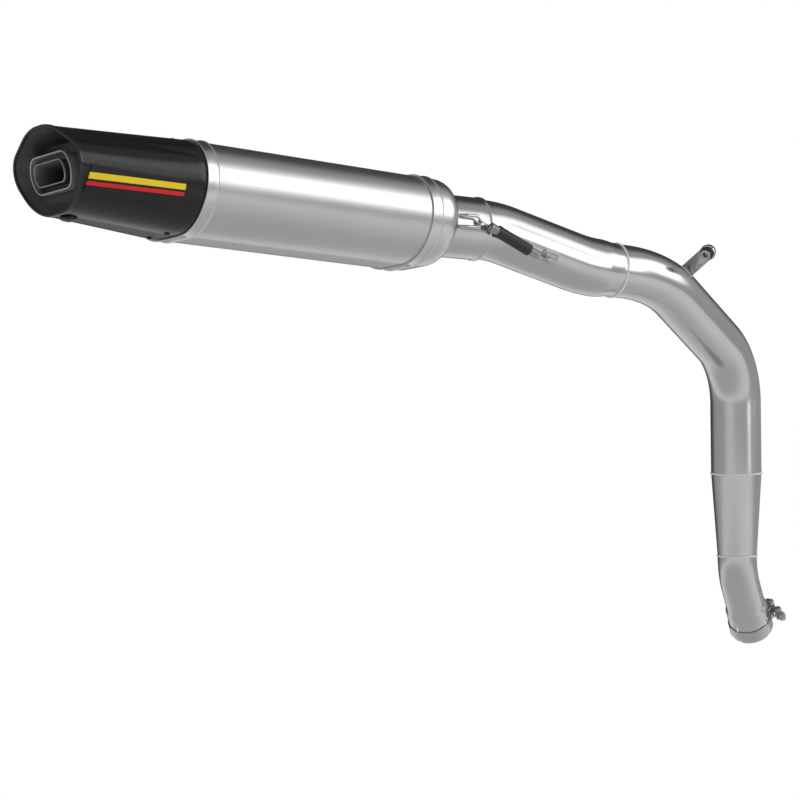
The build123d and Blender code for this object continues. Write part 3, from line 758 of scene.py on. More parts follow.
# %% Header socket
socket_corners = [WELD_3 + DOWN_RUN * 0.05, LOWER_CORNER, -MOUTH_DIR * 44]
socket_line = spaced(rounded(socket_corners, [LOWER_BEND_R], steps=20), 8)
flare_line = [-MOUTH_DIR * back for back in (42, 40, 38, 30, 20, 10, 4, 0.6, 0)]
flare_radii = [23.8, 24.7] + [SOCKET_R] * 6 + [SOCKET_R - 0.35]
outer_rings = circles(socket_line + flare_line, [HEADER_TUBE_R] * len(socket_line) + flare_radii)
inner_radii = [HEADER_TUBE_R - WALL] * len(socket_line) + [22.4, 23.1] + [SOCKET_BORE_R] * 7
inner_rings = circles(socket_line + flare_line, inner_radii)
socket_tube = skin("header_socket", outer_rings + inner_rings[::-1], tube_titanium, loop=True)

CLAMP_LUG = Vector((0.797, -0.487, 0.481))
CLAMP_X, CLAMP_Y = square_to(MOUTH_DIR, CLAMP_LUG)
slit_outline = [(-3, -1.2), (23, -1.2)]
slit_outline += [(23 + 2.4 * math.cos(t), 2.4 * math.sin(t)) for t in np.radians(range(-90, 100, 15))]
slit_outline += [(23, 1.2), (-3, 1.2)]
slits = []
for degrees in (25, 115, 205, 295):
    angle = math.radians(degrees)
    spoke = CLAMP_X * math.cos(angle) - CLAMP_Y * math.sin(angle)
    slits.append(plate("slit", slit_outline, 12, spoke * 25, spoke, -MOUTH_DIR, tube_titanium, edge=0.01))
cut(socket_tube, *slits)
settle(socket_tube, "link_pipe", "tube_titanium", "header_socket_tube")

# %% [markdown]
# The tubes are joined by TIG welds. Such a bead is a row of small overlapping pools, so
# each one is a row of flattened rounds set by the weld tree.


# %% Weld beads
def around(centre, direction, radius, pitch=1.5):
    count = round(2 * math.pi * radius / pitch)
    first, second = square_to(direction)
    turns = [2 * math.pi * k / count for k in range(count + 1)]
    return [centre + (first * math.cos(t) + second * math.sin(t)) * radius for t in turns]


beads = [
    weld_ripples("bead", around(WELD_1, FRONT_RUN, MAIN_TUBE_R + 0.1), 1.3),
    weld_ripples("bead", around(WELD_2, DOWN_RUN, MAIN_TUBE_R + 0.1), 1.2),
    weld_ripples("bead", around(WELD_3, DOWN_RUN, HEADER_TUBE_R + 0.1), 1.2),
]
settle(joined("pipe_beads", beads), "link_pipe", "weld", "pipe_weld_beads")

# %% [markdown]
# ## The silencer's rounded hexagon
# The body, the bands, the caps and the outlet all have the same kind of section: six
# corners, mirrored left and right, each with its own rounding. Every outline gets the
# same number of points, so any two can be joined, and a point half-way between two
# outlines is found by simple mixing.

# %% Silencer sections
SILENCER_Y, SILENCER_Z = -51.3, 432.6
REAR_X, SLEEVE_LENGTH = -900.8, 302.4
FRONT_X = REAR_X + SLEEVE_LENGTH
CAP_LENGTH, CUT_LEAN, RIM = 139.5, math.radians(14.2), 2.5
BODY = (((51.0, 42.3), (72.3, -3.0), (42.1, -50.3)), (38, 44, 50))
MOUTH_SHAPE = (((20.0, 41.1), (68.4, 8.3), (33.9, -41.1)), (50, 24, 52))
RING_SHAPE = (((30.0, 15.5), (37.0, -2.0), (29.5, -20.5)), (12, 21, 12))
INSERT_SHAPE = (((24.0, 8.0), (27.0, -3.0), (24.0, -14.0)), (7.5, 13, 7.5))


def outline_points(shape, per_side=6):
    """The outline's points, from the top right corner down and round."""
    half, radii = shape
    corners = list(half) + [(-w, z) for w, z in reversed(half)]
    line = rounded(corners, list(radii) + list(reversed(radii)), steps=10, closed=True)
    result = []
    for k in range(6):
        arc = line[11 * k : 11 * k + 11]
        ahead = line[(11 * k + 11) % 66]
        result += arc + [arc[-1].lerp(ahead, s / per_side) for s in range(1, per_side)]
    return np.array([(p.x, p.y) for p in result])


def outward(points):
    steps = np.roll(points, -1, axis=0) - np.roll(points, 1, axis=0)
    normals = np.stack([-steps[:, 1], steps[:, 0]], axis=1)
    return normals / np.linalg.norm(normals, axis=1)[:, None]


def mixed(a, b, share):
    """The shape part of the way from one to another."""
    corners = tuple(
        tuple(p + (q - p) * share for p, q in zip(c, d)) for c, d in zip(a[0], b[0])
    )
    return corners, tuple(p + (q - p) * share for p, q in zip(a[1], b[1]))


def section(x, shape, grow=0.0):
    """A ring of the shape across the silencer at x, grown outwards."""
    points = outline_points(shape)
    points = points + outward(points) * grow
    return [Vector((x, SILENCER_Y + y, SILENCER_Z + z)) for y, z in points]


BODY_POINTS, MOUTH_POINTS = outline_points(BODY), outline_points(MOUTH_SHAPE)
print("sections:", len(BODY_POINTS), "points each")

# %% [markdown]
# ## Sleeve and bands
# The sleeve is one titanium sheet bent round a former. Its visible ends are slightly
# hemmed. A strap with two raised lips is riveted over each end.

# %% Sleeve and bands
sleeve_steps = [0, 0.6] + [SLEEVE_LENGTH * k / 24 for k in range(1, 24)]
sleeve_steps += [SLEEVE_LENGTH - 0.6, SLEEVE_LENGTH]
outside = [section(REAR_X + s, BODY, -0.15 if s in (0, SLEEVE_LENGTH) else 0) for s in sleeve_steps]
inside = [section(REAR_X + s, BODY, -1.0) for s in sleeve_steps[::-1]]
sleeve = skin("sleeve", outside + inside, sleeve_titanium, loop=True)
settle(sleeve, "silencer", "sleeve_titanium", "outer_sleeve")

BAND_WIDTH, LIP, LIP_HEIGHT = 15, 1.3, 1.75
band_profile = [(0, 0.05), (0, LIP_HEIGHT), (LIP, LIP_HEIGHT), (LIP + 0.5, 0.9)]
band_profile += [(BAND_WIDTH - x, grow) for x, grow in reversed(band_profile)]
band_profile = rounded(band_profile, [0.02, 0.4, 0.4, 0.25, 0.25, 0.4, 0.4, 0.02], steps=4, closed=True)


def band(name, start):
    rings = [section(start + p.x, BODY, p.y) for p in band_profile]
    return skin(name, rings, band_titanium, loop=True, angle=60)


settle(band("rear_strap", REAR_X), "silencer", "band_titanium", "rear_band")
settle(band("front_strap", FRONT_X - BAND_WIDTH), "silencer", "band_titanium", "front_band")

# %% Rivets
TOP_Z, BOTTOM_Z = BODY[0][0][1], BODY[0][2][1]
RIVET_TOP, RIVET_BOTTOM = (-23, 0, 23), (-15, 15)


def rivet_row(name, x, top, bottom, finish, node, finish_slot):
    """Three rivets on the top facet and two on the bottom one."""
    places = [Vector((x, SILENCER_Y + y, SILENCER_Z + top)) for y in RIVET_TOP]
    places += [Vector((x, SILENCER_Y + y, SILENCER_Z + bottom)) for y in RIVET_BOTTOM]
    ups = [Vector((0, 0, 1))] * len(RIVET_TOP) + [Vector((0, 0, -1))] * len(RIVET_BOTTOM)
    row = rivets(name, places, ups, 3.0, 1.7, finish)
    settle(row, "silencer", finish_slot, node)


strap_top, strap_bottom = TOP_Z + 0.95, BOTTOM_Z - 0.95
for word, x in (("rear", REAR_X + BAND_WIDTH / 2), ("front", FRONT_X - BAND_WIDTH / 2)):
    rivet_row(f"{word}_rivets", x, strap_top, strap_bottom, steel, f"{word}_band_rivets", "hardware")
CAP_RIVET_AT = 12
cap_share = CAP_RIVET_AT / CAP_LENGTH
cap_top = TOP_Z + (MOUTH_SHAPE[0][0][1] - TOP_Z) * cap_share
cap_bottom = BOTTOM_Z + (MOUTH_SHAPE[0][2][1] - BOTTOM_Z) * cap_share
rivet_row(
    "cap_rivet_heads", REAR_X - CAP_RIVET_AT, cap_top + 0.1, cap_bottom - 0.1,
    black_steel, "cap_rivets", "black_hardware",
)

# %% [markdown]
# ## The carbon end cap
# The cap narrows from the body's section to the outlet's and is sawn off at a lean. Each
# line along it runs straight from the sleeve until it meets the leaning plane, so the
# meeting point comes from one linear equation, and the cloth's pattern follows the
# surface.


# %% Rings on the cap
def cap_surface(reach, grow=0.0):
    """Cap points at a distance from the sleeve: one number, or one for each point."""
    share = np.broadcast_to(np.asarray(reach, float) / CAP_LENGTH, (len(BODY_POINTS),))[:, None]
    flat = BODY_POINTS + (MOUTH_POINTS - BODY_POINTS) * share
    flat = flat + outward(flat) * grow
    return [
        Vector((REAR_X - s * CAP_LENGTH, SILENCER_Y + y, SILENCER_Z + z))
        for s, (y, z) in zip(share[:, 0], flat)
    ]


def cut_reach(depth):
    """How far each line runs before it meets the leaning plane, set back by a depth."""
    rise = (MOUTH_POINTS[:, 1] - BODY_POINTS[:, 1]) / CAP_LENGTH
    lean = math.tan(CUT_LEAN)
    start = CAP_LENGTH - depth / math.cos(CUT_LEAN)
    return (start + BODY_POINTS[:, 1] * lean) / (1 - rise * lean)


def cut_ring(depth, grow):
    return cap_surface(cut_reach(depth), grow)


# %% End cap, rim and spigot
CARBON = 1.6
edge_reach = cut_reach(RIM)
shares = [0.001, 0.006] + [k / 16 for k in range(1, 17)]
cap_rings = [cap_surface(edge_reach * s, -0.3 if s < 0.005 else 0.0) for s in shares]
cap_rings += [cap_surface(edge_reach * s, -CARBON) for s in shares[::-1]]
spigot = [section(REAR_X + s, BODY, -1.05) for s in (0.2, 8, 16, 22)]
spigot_inner = [section(REAR_X + s, BODY, -2.6) for s in (22, 16, 8, 0.2)]
cap_rings += spigot_inner[::-1] + spigot[::-1]
cap = skin("carbon_cap", cap_rings, carbon, loop=True, angle=50)
settle(cap, "silencer", "carbon", "end_cap")

rim_corners = [(RIM + 0.3, 0.7), (-0.3, 0.7), (-0.3, -2.4), (RIM + 0.3, -2.4)]
rim_profile = rounded(rim_corners, [0.4, 1.25, 1.25, 0.4], steps=6, closed=True)
rim = skin("cap_rim", [cut_ring(p.x, p.y) for p in rim_profile], black_trim, loop=True, angle=60)
settle(rim, "silencer", "black_trim", "end_cap_rim")

# %% [markdown]
# ## The outlet
# Behind the rim a dark pressed dish slopes in to a flat plate, and a six-sided collar
# comes through it. The removable insert sits in the collar: a flange that fills it and a
# smaller tube. Both lips carry a painted highlight, which the `edge` attribute paints.

# %% Dish, collar and insert
PLATE_X = REAR_X - 124
COLLAR_BACK = 18
inner_shape = (mixed(RING_SHAPE, MOUTH_SHAPE, 0.42)[0], (26, 26, 26))
hole_ring = section(PLATE_X, RING_SHAPE, 0.5)
dish_out = section(PLATE_X, inner_shape)
rim_edge = cut_ring(RIM * 0.7, -2.3)


def ring_mix(a, b, share):
    return [p.lerp(q, share) for p, q in zip(a, b)]


def moved(ring, x, grow=0.0):
    centre = sum(ring, Vector()) / len(ring)
    return [p + (p - centre).normalized() * grow + Vector((x, 0, 0)) for p in ring]


dish_rings = [rim_edge] + [ring_mix(rim_edge, dish_out, s) for s in (0.04, 0.3, 0.6, 0.9, 0.97)]
dish_rings += [ring_mix(dish_out, hole_ring, s) for s in (0.03, 0.1, 0.5, 0.9)]
dish_rings += [hole_ring, moved(hole_ring, 1.2)]
dish_rings += [moved(ring_mix(dish_out, hole_ring, s), 1.2) for s in (0.5, 0.05)]
dish_rings += [moved(ring_mix(rim_edge, dish_out, s), 1.4, -0.3) for s in (0.9, 0.5, 0.05)]
dish = skin("outlet_dish", dish_rings, dark_coating, loop=True, angle=50)
settle(dish, "silencer", "dark_coating", "outlet_funnel")


def leaning(shape, depth, grow=0.0):
    """A ring of the shape where it meets the leaning plane at a depth."""
    points = outline_points(shape)
    points = points + outward(points) * grow
    lean = math.tan(CUT_LEAN)
    end = REAR_X - CAP_LENGTH + depth / math.cos(CUT_LEAN)
    return [Vector((end - z * lean, SILENCER_Y + y, SILENCER_Z + z)) for y, z in points]


LIP_DEPTH = 3
lip_corners = [(26, 0), (0, 0), (0, -1.5), (26, -1.5)]
lip_section = rounded(lip_corners, [0.3, 0.7, 0.7, 0.3], steps=4, closed=True)
collar_rings, painted_edge_highlight = [], []
for p in lip_section:
    if p.x > 13:
        collar_rings.append(section(PLATE_X + COLLAR_BACK, RING_SHAPE, p.y))
    else:
        collar_rings.append(leaning(RING_SHAPE, LIP_DEPTH + p.x, p.y))
    # Painted highlight: the collar's front lip gets the lighter edge colour.
    painted_edge_highlight.append(1.0 if p.x < 0.7 else 0.0)
collar = skin("outlet_collar", collar_rings, dark_coating, loop=True, angle=60, edge=painted_edge_highlight)
settle(collar, "silencer", "dark_coating", "outlet_ring")

FLANGE_DEPTH, INSERT_GAP, INSERT_END = 8.5, 1.8, 44
small, large = INSERT_SHAPE, RING_SHAPE
insert_line = [
    # depth, shape, grown by, painted highlight
    (2.2, small, -1.1, 0.5),
    (1.6, small, -0.85, 1.0),
    (1.6, small, -0.25, 1.0),
    (2.2, small, 0.0, 0.5),
    (4.0, small, 0.0, 0.0),
    (FLANGE_DEPTH - 0.6, small, 0.0, 0.0),
    (FLANGE_DEPTH, small, 0.6, 0.0),
    (FLANGE_DEPTH, large, -INSERT_GAP - 1.0, 0.0),
    (FLANGE_DEPTH + 0.5, large, -INSERT_GAP, 0.2),
    (FLANGE_DEPTH + 13, large, -INSERT_GAP, 0.0),
    (FLANGE_DEPTH + 13, large, -INSERT_GAP - 1.0, 0.0),
    (FLANGE_DEPTH + 2, large, -INSERT_GAP - 1.1, 0.0),
    (FLANGE_DEPTH + 1.5, small, 0.6, 0.0),
    (INSERT_END, small, 0.0, 0.0),
    (INSERT_END, small, -1.1, 0.0),
]
insert_rings = [leaning(shape, depth, grow) for depth, shape, grow, _ in insert_line]
# Painted highlight: the last column brightens the insert's lips.
lip_highlight = [wear for *_, wear in insert_line]
insert = skin("sound_insert", insert_rings, dark_coating, loop=True, angle=50, edge=lip_highlight)
settle(insert, "noise_insert", "dark_coating", "noise_insert")

# %% [markdown]
# ## Blank badge plate
# A thin plate is glued to the cap's side. It follows the cap, so its grid is laid on the
# cap's surface and lifted by the plate's thickness. It stays blank, with two plain
# stripes.

# %% Badge plate
badge, tree, shader = material("badge_paint", {"Coat Weight": 0.3, "Specular IOR Level": 0.2})
_, height, _ = uv_parts(tree)
red_stripe = (height > 0.30) * (height < 0.42)
yellow_stripe = (height > 0.50) * (height < 0.70)
fleck = tree.noise(object_place(tree), 600.0, 2, 0.6)
paint = tree.mix(fleck, grey(0.006), grey(0.012))
paint = tree.mix(red_stripe, paint, rgb(0.70, 0.010, 0.012))
paint = tree.mix(yellow_stripe, paint, rgb(0.86, 0.62, 0.010))
tree.plug(shader.inputs["Base Color"], paint)
tree.plug(shader.inputs["Roughness"], fleck * 0.12 + 0.28)

BADGE_LENGTH, BADGE_HEIGHT, BADGE_ROUND, BADGE_RISE = 104, 28, 5, -15
BADGE_MIDDLE = REAR_X - 76
near_side = [k for k in range(len(BODY_POINTS)) if BODY_POINTS[k, 0] < -30]


def on_cap(x, z, grow):
    """The point of the cap's near side at a place along it and a height."""
    share = (REAR_X - x) / CAP_LENGTH
    flat = (BODY_POINTS + (MOUTH_POINTS - BODY_POINTS) * share)[near_side]
    flat = flat + outward(BODY_POINTS + (MOUTH_POINTS - BODY_POINTS) * share)[near_side] * grow
    order = np.argsort(flat[:, 1])
    y = np.interp(z, flat[order, 1], flat[order, 0])
    return Vector((x, SILENCER_Y + y, SILENCER_Z + z))


ACROSS, UP = 40, 14


def badge_point(i, j, grow):
    up = (j / UP - 0.5) * BADGE_HEIGHT
    over = max(0.0, abs(up) - (BADGE_HEIGHT / 2 - BADGE_ROUND))
    reach = BADGE_LENGTH / 2 - BADGE_ROUND + math.sqrt(BADGE_ROUND**2 - over**2)
    return on_cap(BADGE_MIDDLE + (i / ACROSS - 0.5) * 2 * reach, BADGE_RISE + up, grow)


badge_mesh = bmesh.new()
uv_layer = badge_mesh.loops.layers.uv.new("UVMap")
sheet = {}
for side, grow in (("under", 0.05), ("face", 1.1)):
    for i in range(ACROSS + 1):
        for j in range(UP + 1):
            sheet[side, i, j] = badge_mesh.verts.new(badge_point(i, j, grow) * MM)


def badge_face(*keys):
    face = badge_mesh.faces.new([sheet[k] for k in keys])
    for loop, (_, i, j) in zip(face.loops, keys):
        loop[uv_layer].uv = (i / ACROSS, j / UP)


for i in range(ACROSS):
    for j in range(UP):
        for side in ("under", "face"):
            quad = [(side, i, j), (side, i + 1, j), (side, i + 1, j + 1), (side, i, j + 1)]
            badge_face(*(quad if side == "face" else quad[::-1]))
border = [(i, 0) for i in range(ACROSS)] + [(ACROSS, j) for j in range(UP)]
border += [(i, UP) for i in range(ACROSS, 0, -1)] + [(0, j) for j in range(UP, 0, -1)]
for (i, j), (k, m) in zip(border, border[1:] + border[:1]):
    badge_face(("under", i, j), ("under", k, m), ("face", k, m), ("face", i, j))
badge_data = bpy.data.meshes.new("badge")
badge_mesh.to_mesh(badge_data)
badge_mesh.free()
plate_piece = finish_mesh("blank_plate", badge_data, badge)
settle(plate_piece, "silencer", "badge", "badge_plate")

# %% [markdown]
# ## Insert screw
# A low domed screw goes through the cap and the collar's boss, and its tip holds the
# insert. The dome is turned, and its hexagon socket is cut.

# %% Insert screw
DOWN = Vector((0, 0, -1))
SCREW_AT = 115
screw_x = REAR_X - SCREW_AT
slope = (MOUTH_SHAPE[0][2][1] - BODY[0][2][1]) / CAP_LENGTH
seat = -BODY[0][2][1] - slope * SCREW_AT + 0.4
screw_base = Vector((screw_x, SILENCER_Y, SILENCER_Z))
dome = [(8.5 * math.cos(a), seat + 0.9 + 3.0 * math.sin(a)) for a in np.radians(range(0, 90, 10))]
screw_profile = [(2.5, 21.4), (2.5, seat), (8.3, seat)] + dome + [(0.0, seat + 3.9), (0.0, 21.4)]
screw = turned_part("domed_screw", screw_profile, screw_base, DOWN, black_steel, count=48)
recess_at = screw_base + DOWN * (seat + 4)
recess = plate("recess", hexagon_points(5.0, 0.2), 4, recess_at, DOWN, None, black_steel, edge=0.05)
cut(screw, recess)
settle(screw, "insert_screw", "black_hardware", "insert_screw")

# %% [markdown]
# ## Front cap and stub
# The front cap is deep-drawn: the body's section turns over a wide, smooth shoulder into
# a flat face, and the stub tube comes out of that face at a slight angle.

# %% Front cap
DOME_LENGTH, SHOULDER, HOLE_R = 34, 24, 34.2
cap_front = [section(FRONT_X + 0.1, BODY, -0.15), section(FRONT_X + 0.6, BODY)]
cap_front += [section(FRONT_X + s, BODY) for s in (4, DOME_LENGTH - SHOULDER)]
for turn in np.radians(range(9, 91, 9)):
    x = FRONT_X + DOME_LENGTH - SHOULDER + SHOULDER * math.sin(turn)
    cap_front.append(section(x, BODY, -SHOULDER * (1 - math.cos(turn))))


def hole_in_face(x):
    """The stub's hole, in as many points as a section has."""
    along = (x - STUB_START.x) / STUB_DIR.x
    centre = STUB_START + STUB_DIR * along
    flat = outline_points(BODY)
    turns = np.arctan2(flat[:, 1], flat[:, 0])
    return [centre + Vector((0, HOLE_R * math.cos(t), HOLE_R * math.sin(t))) for t in turns]


face_x = FRONT_X + DOME_LENGTH
cap_front.append(hole_in_face(face_x))
cap_back = [moved(ring, -1.3, -0.9) for ring in cap_front[:1:-1]]
cap_back[0] = hole_in_face(face_x - 1.3)
spigot_front = [section(FRONT_X - s, BODY, -2.4) for s in (0, 18)]
spigot_front += [section(FRONT_X - s, BODY, -1.05) for s in (18, 0)]
front_cap = skin("front_cap", cap_front + cap_back + spigot_front, band_titanium, loop=True, angle=50)
settle(front_cap, "silencer", "band_titanium", "inlet_cap")

# %% Stub and its weld
stub_profile = rounded(
    [(32.58, -8), (34, -8), (34, 66.5), (35.0, 68.0), (35.0, 70), (32.58, 70)],
    [0.3, 0.3, 2.0, 0.7, 0.7, 0.5], steps=4, closed=True,
)
stub = turned_part("stub", spaced(stub_profile, 10), STUB_START, STUB_DIR, tube_titanium, count=96)
settle(stub, "silencer", "tube_titanium", "inlet_stub")

stub_centre = STUB_START + STUB_DIR * ((face_x - STUB_START.x) / STUB_DIR.x)
bead_line = around(stub_centre + Vector((0.6, 0, 0)), Vector((1, 0, 0)), 34.9)
stub_bead = weld_ripples("stub_bead", bead_line, 1.4)
settle(stub_bead, "silencer", "weld", "inlet_weld")

# %% [markdown]
# ## Springs across the slip joint
# Two springs pull the silencer onto the pipe. On the stub each one hooks over a loop of
# bent wire, and on the pipe through a folded bracket. A spring is one wire: a hook, close
# coils and another hook. The tree winds the wire round its straight middle line, then
# gives it thickness.


# %% A tree that winds a wire
group, tree, wires = node_group("wound_wire", ("Coil Radius", "Wire Radius"))
turn = tree.node("GeometryNodeInputNamedAttribute", {"data_type": "FLOAT"}, {0: "turn"})
reach = tree.node("GeometryNodeInputNamedAttribute", {"data_type": "FLOAT"}, {0: "reach"})
side = tree.node("GeometryNodeInputNamedAttribute", {"data_type": "FLOAT_VECTOR"}, {0: "side"})
rise = tree.node("GeometryNodeInputNamedAttribute", {"data_type": "FLOAT_VECTOR"}, {0: "rise"})


def scaled(vector, factor):
    return tree.node("ShaderNodeVectorMath", {"operation": "SCALE"}, {0: vector, "Scale": factor})


arm = reach * wires["Coil Radius"]
offset = tree.node(
    "ShaderNodeVectorMath",
    {"operation": "ADD"},
    {0: scaled(side, turn.math("COSINE") * arm), 1: scaled(rise, turn.math("SINE") * arm)},
)
wound = tree.node("GeometryNodeSetPosition", inputs={0: wires["Geometry"], "Offset": offset})
line = tree.node("GeometryNodeMeshToCurve", inputs={0: wound})
wire_size = {"Resolution": 10, "Radius": wires["Wire Radius"]}
round_wire = tree.node("GeometryNodeCurvePrimitiveCircle", inputs=wire_size)
solid = tree.node("GeometryNodeCurveToMesh", inputs={0: line, 1: round_wire, "Fill Caps": True})
close_group(group, tree, solid, wires["Finish"])
wire_group = group


def wound_wire(name, points, turns, reaches, side_dir, rise_dir, coil_r, wire_r, finish):
    mesh = bpy.data.meshes.new(name)
    mesh.from_pydata([p * MM for p in points], [(k, k + 1) for k in range(len(points) - 1)], [])
    for key, values in (("turn", turns), ("reach", reaches)):
        mesh.attributes.new(key, "FLOAT", "POINT").data.foreach_set("value", np.array(values, np.float32))
    for key, value in (("side", side_dir), ("rise", rise_dir)):
        repeated = np.tile(np.array(tuple(value), np.float32), len(points))
        mesh.attributes.new(key, "FLOAT_VECTOR", "POINT").data.foreach_set("vector", repeated)
    sizes = {"Coil Radius": coil_r * MM, "Wire Radius": wire_r * MM}
    return run_group(name, wire_group, mesh, finish, sizes)


def bent_wire(name, points, wire_r, finish):
    """Plain bent wire: the same tree with nothing wound."""
    nothing = [0.0] * len(points)
    return wound_wire(name, points, nothing, nothing, Vector((1, 0, 0)), Vector((0, 0, 1)), 0, wire_r, finish)


# %% Where the springs hang
RUN_1 = (FRONT_CORNER - STUB_CORNER).normalized()
SIDE_AT_STUB = Vector((0, 0, 1)).cross(STUB_DIR) * -1
DOWN_AT_PIPE = (Vector((0, 0, -1)) + RUN_1 * RUN_1.z).normalized()
SIDE_AT_PIPE = DOWN_AT_PIPE.cross(RUN_1).normalized()
STUB_R, STANDOFF, EYE_LIFT, EYE_WIRE, SPRING_WIRE = 34.0, 8.2, 5.0, 1.7, 0.9
COIL_R = 4.3


def spring_frame(hand):
    out_stub = SIDE_AT_STUB * hand
    tilt = math.radians(27)
    out_pipe = (SIDE_AT_PIPE * hand * math.cos(tilt) + DOWN_AT_PIPE * math.sin(tilt)).normalized()
    nose = STUB_START + STUB_DIR * 50 + out_stub * (STUB_R + EYE_LIFT)
    hole = STUB_CORNER + RUN_1 * 57 + out_pipe * (FRONT_TUBE_R + STANDOFF)
    return nose, hole, out_stub, out_pipe


# %% Springs, sleeves, eyes and brackets
def arc(centre, start, ahead, radius, degrees, steps=14):
    """Points round a centre, from the start direction towards the ahead direction."""
    turns = np.radians(np.linspace(0, degrees, steps))
    return [centre + start * (radius * math.cos(t)) + ahead * (radius * math.sin(t)) for t in turns]


def make_spring(name, hand, node):
    nose, hole, out_stub, out_pipe = spring_frame(hand)
    axis = (hole - nose).normalized()
    top = (out_stub - axis * out_stub.dot(axis)).normalized()
    hook_r = EYE_WIRE + SPRING_WIRE + 0.3
    base = nose + top * hook_r
    flat = axis.cross(out_pipe).normalized()
    web = hole - RUN_1 * 3.4
    far = web + flat * 3.0
    line_dir = (far - base).normalized()
    length = (far - base).length
    first, last = base + line_dir * 10, base + line_dir * (length - 9)
    side_dir, rise_dir = square_to(line_dir)
    coils = round((last - first).length / 1.95)
    count = coils * 18
    points = arc(nose, top, -axis, hook_r, 235)[::-1] + [base + line_dir * 5]
    hook_count = len(points)
    points += [first.lerp(last, k / count) for k in range(count + 1)]
    tail = [base + line_dir * (length - 4)] + arc(web, flat, axis, 3.0, 200)
    points += tail
    turns = [0.0] * hook_count + [2 * math.pi * coils * k / count for k in range(count + 1)]
    turns += [turns[-1]] * len(tail)
    swell = [min(1.0, k / 14, (count - k) / 14) for k in range(count + 1)]
    reaches = [0.0] * hook_count + swell + [0.0] * len(tail)
    made = wound_wire(name, points, turns, reaches, side_dir, rise_dir, COIL_R, SPRING_WIRE, spring_wire)
    tuple(last * MM)
    tuple(first * MM)
    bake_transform(made)
    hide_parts(node)
    print(made.name, coils, "coils,", round(length), "mm between hooks")
    return first, last, line_dir


def make_sleeve(name, first, last, axis, node):
    length = (last - first).length
    low, high = length * 0.16, length * 0.80
    profile = soft_ring(5.35, 6.6, low, high, 0.5)
    sleeve = turned_part(name, spaced(profile, 4), first, axis, rubber, count=40)
    settle(sleeve, "link_pipe", "rubber", node)


def make_eye(hand):
    """The loop on the stub: two legs that rise from the tube and a round nose."""
    _, _, out, _ = spring_frame(hand)
    centre = STUB_START + STUB_DIR * 46 + out * (STUB_R + EYE_LIFT)
    across = STUB_DIR.cross(out)
    corners = [(-21, -6, -4.4), (-13, -6, 0), (4, -6, 0), (4, 6, 0), (-13, 6, 0), (-21, 6, -4.4)]
    placed = [centre + STUB_DIR * x + across * y + out * z for x, y, z in corners]
    return bent_wire("eye", rounded(placed, [4, 5.9, 5.9, 4], steps=10), EYE_WIRE, steel)


hook_corners = [(-5.5, 0.6), (10, 0.6), (10, 9), (7, 13), (-5.5, 13)]
hook_outline = rounded(hook_corners, [0.5, 0.5, 2.5, 3, 3.5], closed=True)
foot_outline = rounded([(-6, -7.5), (15, -7.5), (15, 7.5), (-6, 7.5)], 3, steps=6, closed=True)


def make_bracket(hand):
    """A folded bracket: a foot bent to the pipe and an upright tab with the spring's hole."""
    _, hole, _, out = spring_frame(hand)
    base = hole - out * STANDOFF
    across = out.cross(RUN_1)
    holes = [circle_points(2.3, 20, (0, STANDOFF))]
    tab = plate("tab", hook_outline, 1.9, base, -across, RUN_1, steel, holes=holes, edge=0.4)
    foot = plate("foot", foot_outline, 1.6, base + out * 0.4, out, RUN_1, steel, edge=0.4)
    corners = [(-4, -5.2), (12, -5.2), (12, 5.2), (-4, 5.2)]
    trail = [base + RUN_1 * x + across * y + out * 0.9 for x, y in corners]
    bead = weld_ripples("bracket_bead", spaced(trail + trail[:1], 1.3), 0.9, steel)
    return [tab, foot, bead]


brackets, eyes = [], []
for hand, word in ((1, "near"), (-1, "far")):
    first, last, axis = make_spring(f"{word}_coil", hand, f"{word}_spring")
    make_sleeve(f"{word}_cover", first, last, axis, f"{word}_spring_sleeve")
    eyes.append(make_eye(hand))
    brackets += make_bracket(hand)
settle(joined("spring_eyes", eyes), "silencer", "hardware", "stub_spring_eyes")
settle(joined("spring_brackets", brackets), "link_pipe", "hardware", "pipe_spring_hooks")

# %% [markdown]
# ## Hanger
# A flat strap is welded edge-on to the upper bend. Its round head holds a rubber bobbin,
# and a flanged spacer in the bobbin takes the mounting bolt without crushing it.

# %% Hanger strap, bobbin and spacer
HANGER_ROOT = Vector((-232.4, -121.3, 406.3))
HANGER_REACH = Vector((-0.094, -0.906, 0.411)).normalized()
HANGER_WIDTH = Vector((0.572, -0.385, -0.721))
HANGER_LENGTH, HANGER_THICK, HEAD_R = 38, 3, 9
hanger_normal = HANGER_WIDTH.cross(HANGER_REACH).normalized()
head_centre = HANGER_ROOT + HANGER_REACH * HANGER_LENGTH
strap_turns = np.radians(range(-118, 119, 8))
strap_outline = [(HEAD_R * math.cos(t), HEAD_R * math.sin(t)) for t in strap_turns]
strap_outline += [(-10, 8.0), (-44, 8.0), (-44, -8.0), (-10, -8.0)]
strap = plate(
    "strap", strap_outline, HANGER_THICK, head_centre, hanger_normal, HANGER_REACH, tube_titanium,
    holes=[circle_points(5.2, 32)], edge=0.4,
)
clear = circles(MAIN_LINE[3:60], MAIN_TUBE_R + 0.02, 64)
pipe_rings = [[MAIN_LINE[3]] * 64] + clear + [[MAIN_LINE[59]] * 64]
pipe_solid = skin("pipe_solid", pipe_rings, steel)
cut(strap, pipe_solid)


def on_pipe(point, lift):
    """The nearest place on the main tube's surface."""
    centre = min(MAIN_LINE, key=lambda p: (p - point).length)
    k = max(1, min(len(MAIN_LINE) - 2, MAIN_LINE.index(centre)))
    direction = (MAIN_LINE[k + 1] - MAIN_LINE[k - 1]).normalized()
    arm = (point - centre) - direction * (point - centre).dot(direction)
    foot = point - arm
    return foot + arm.normalized() * (MAIN_TUBE_R + lift)


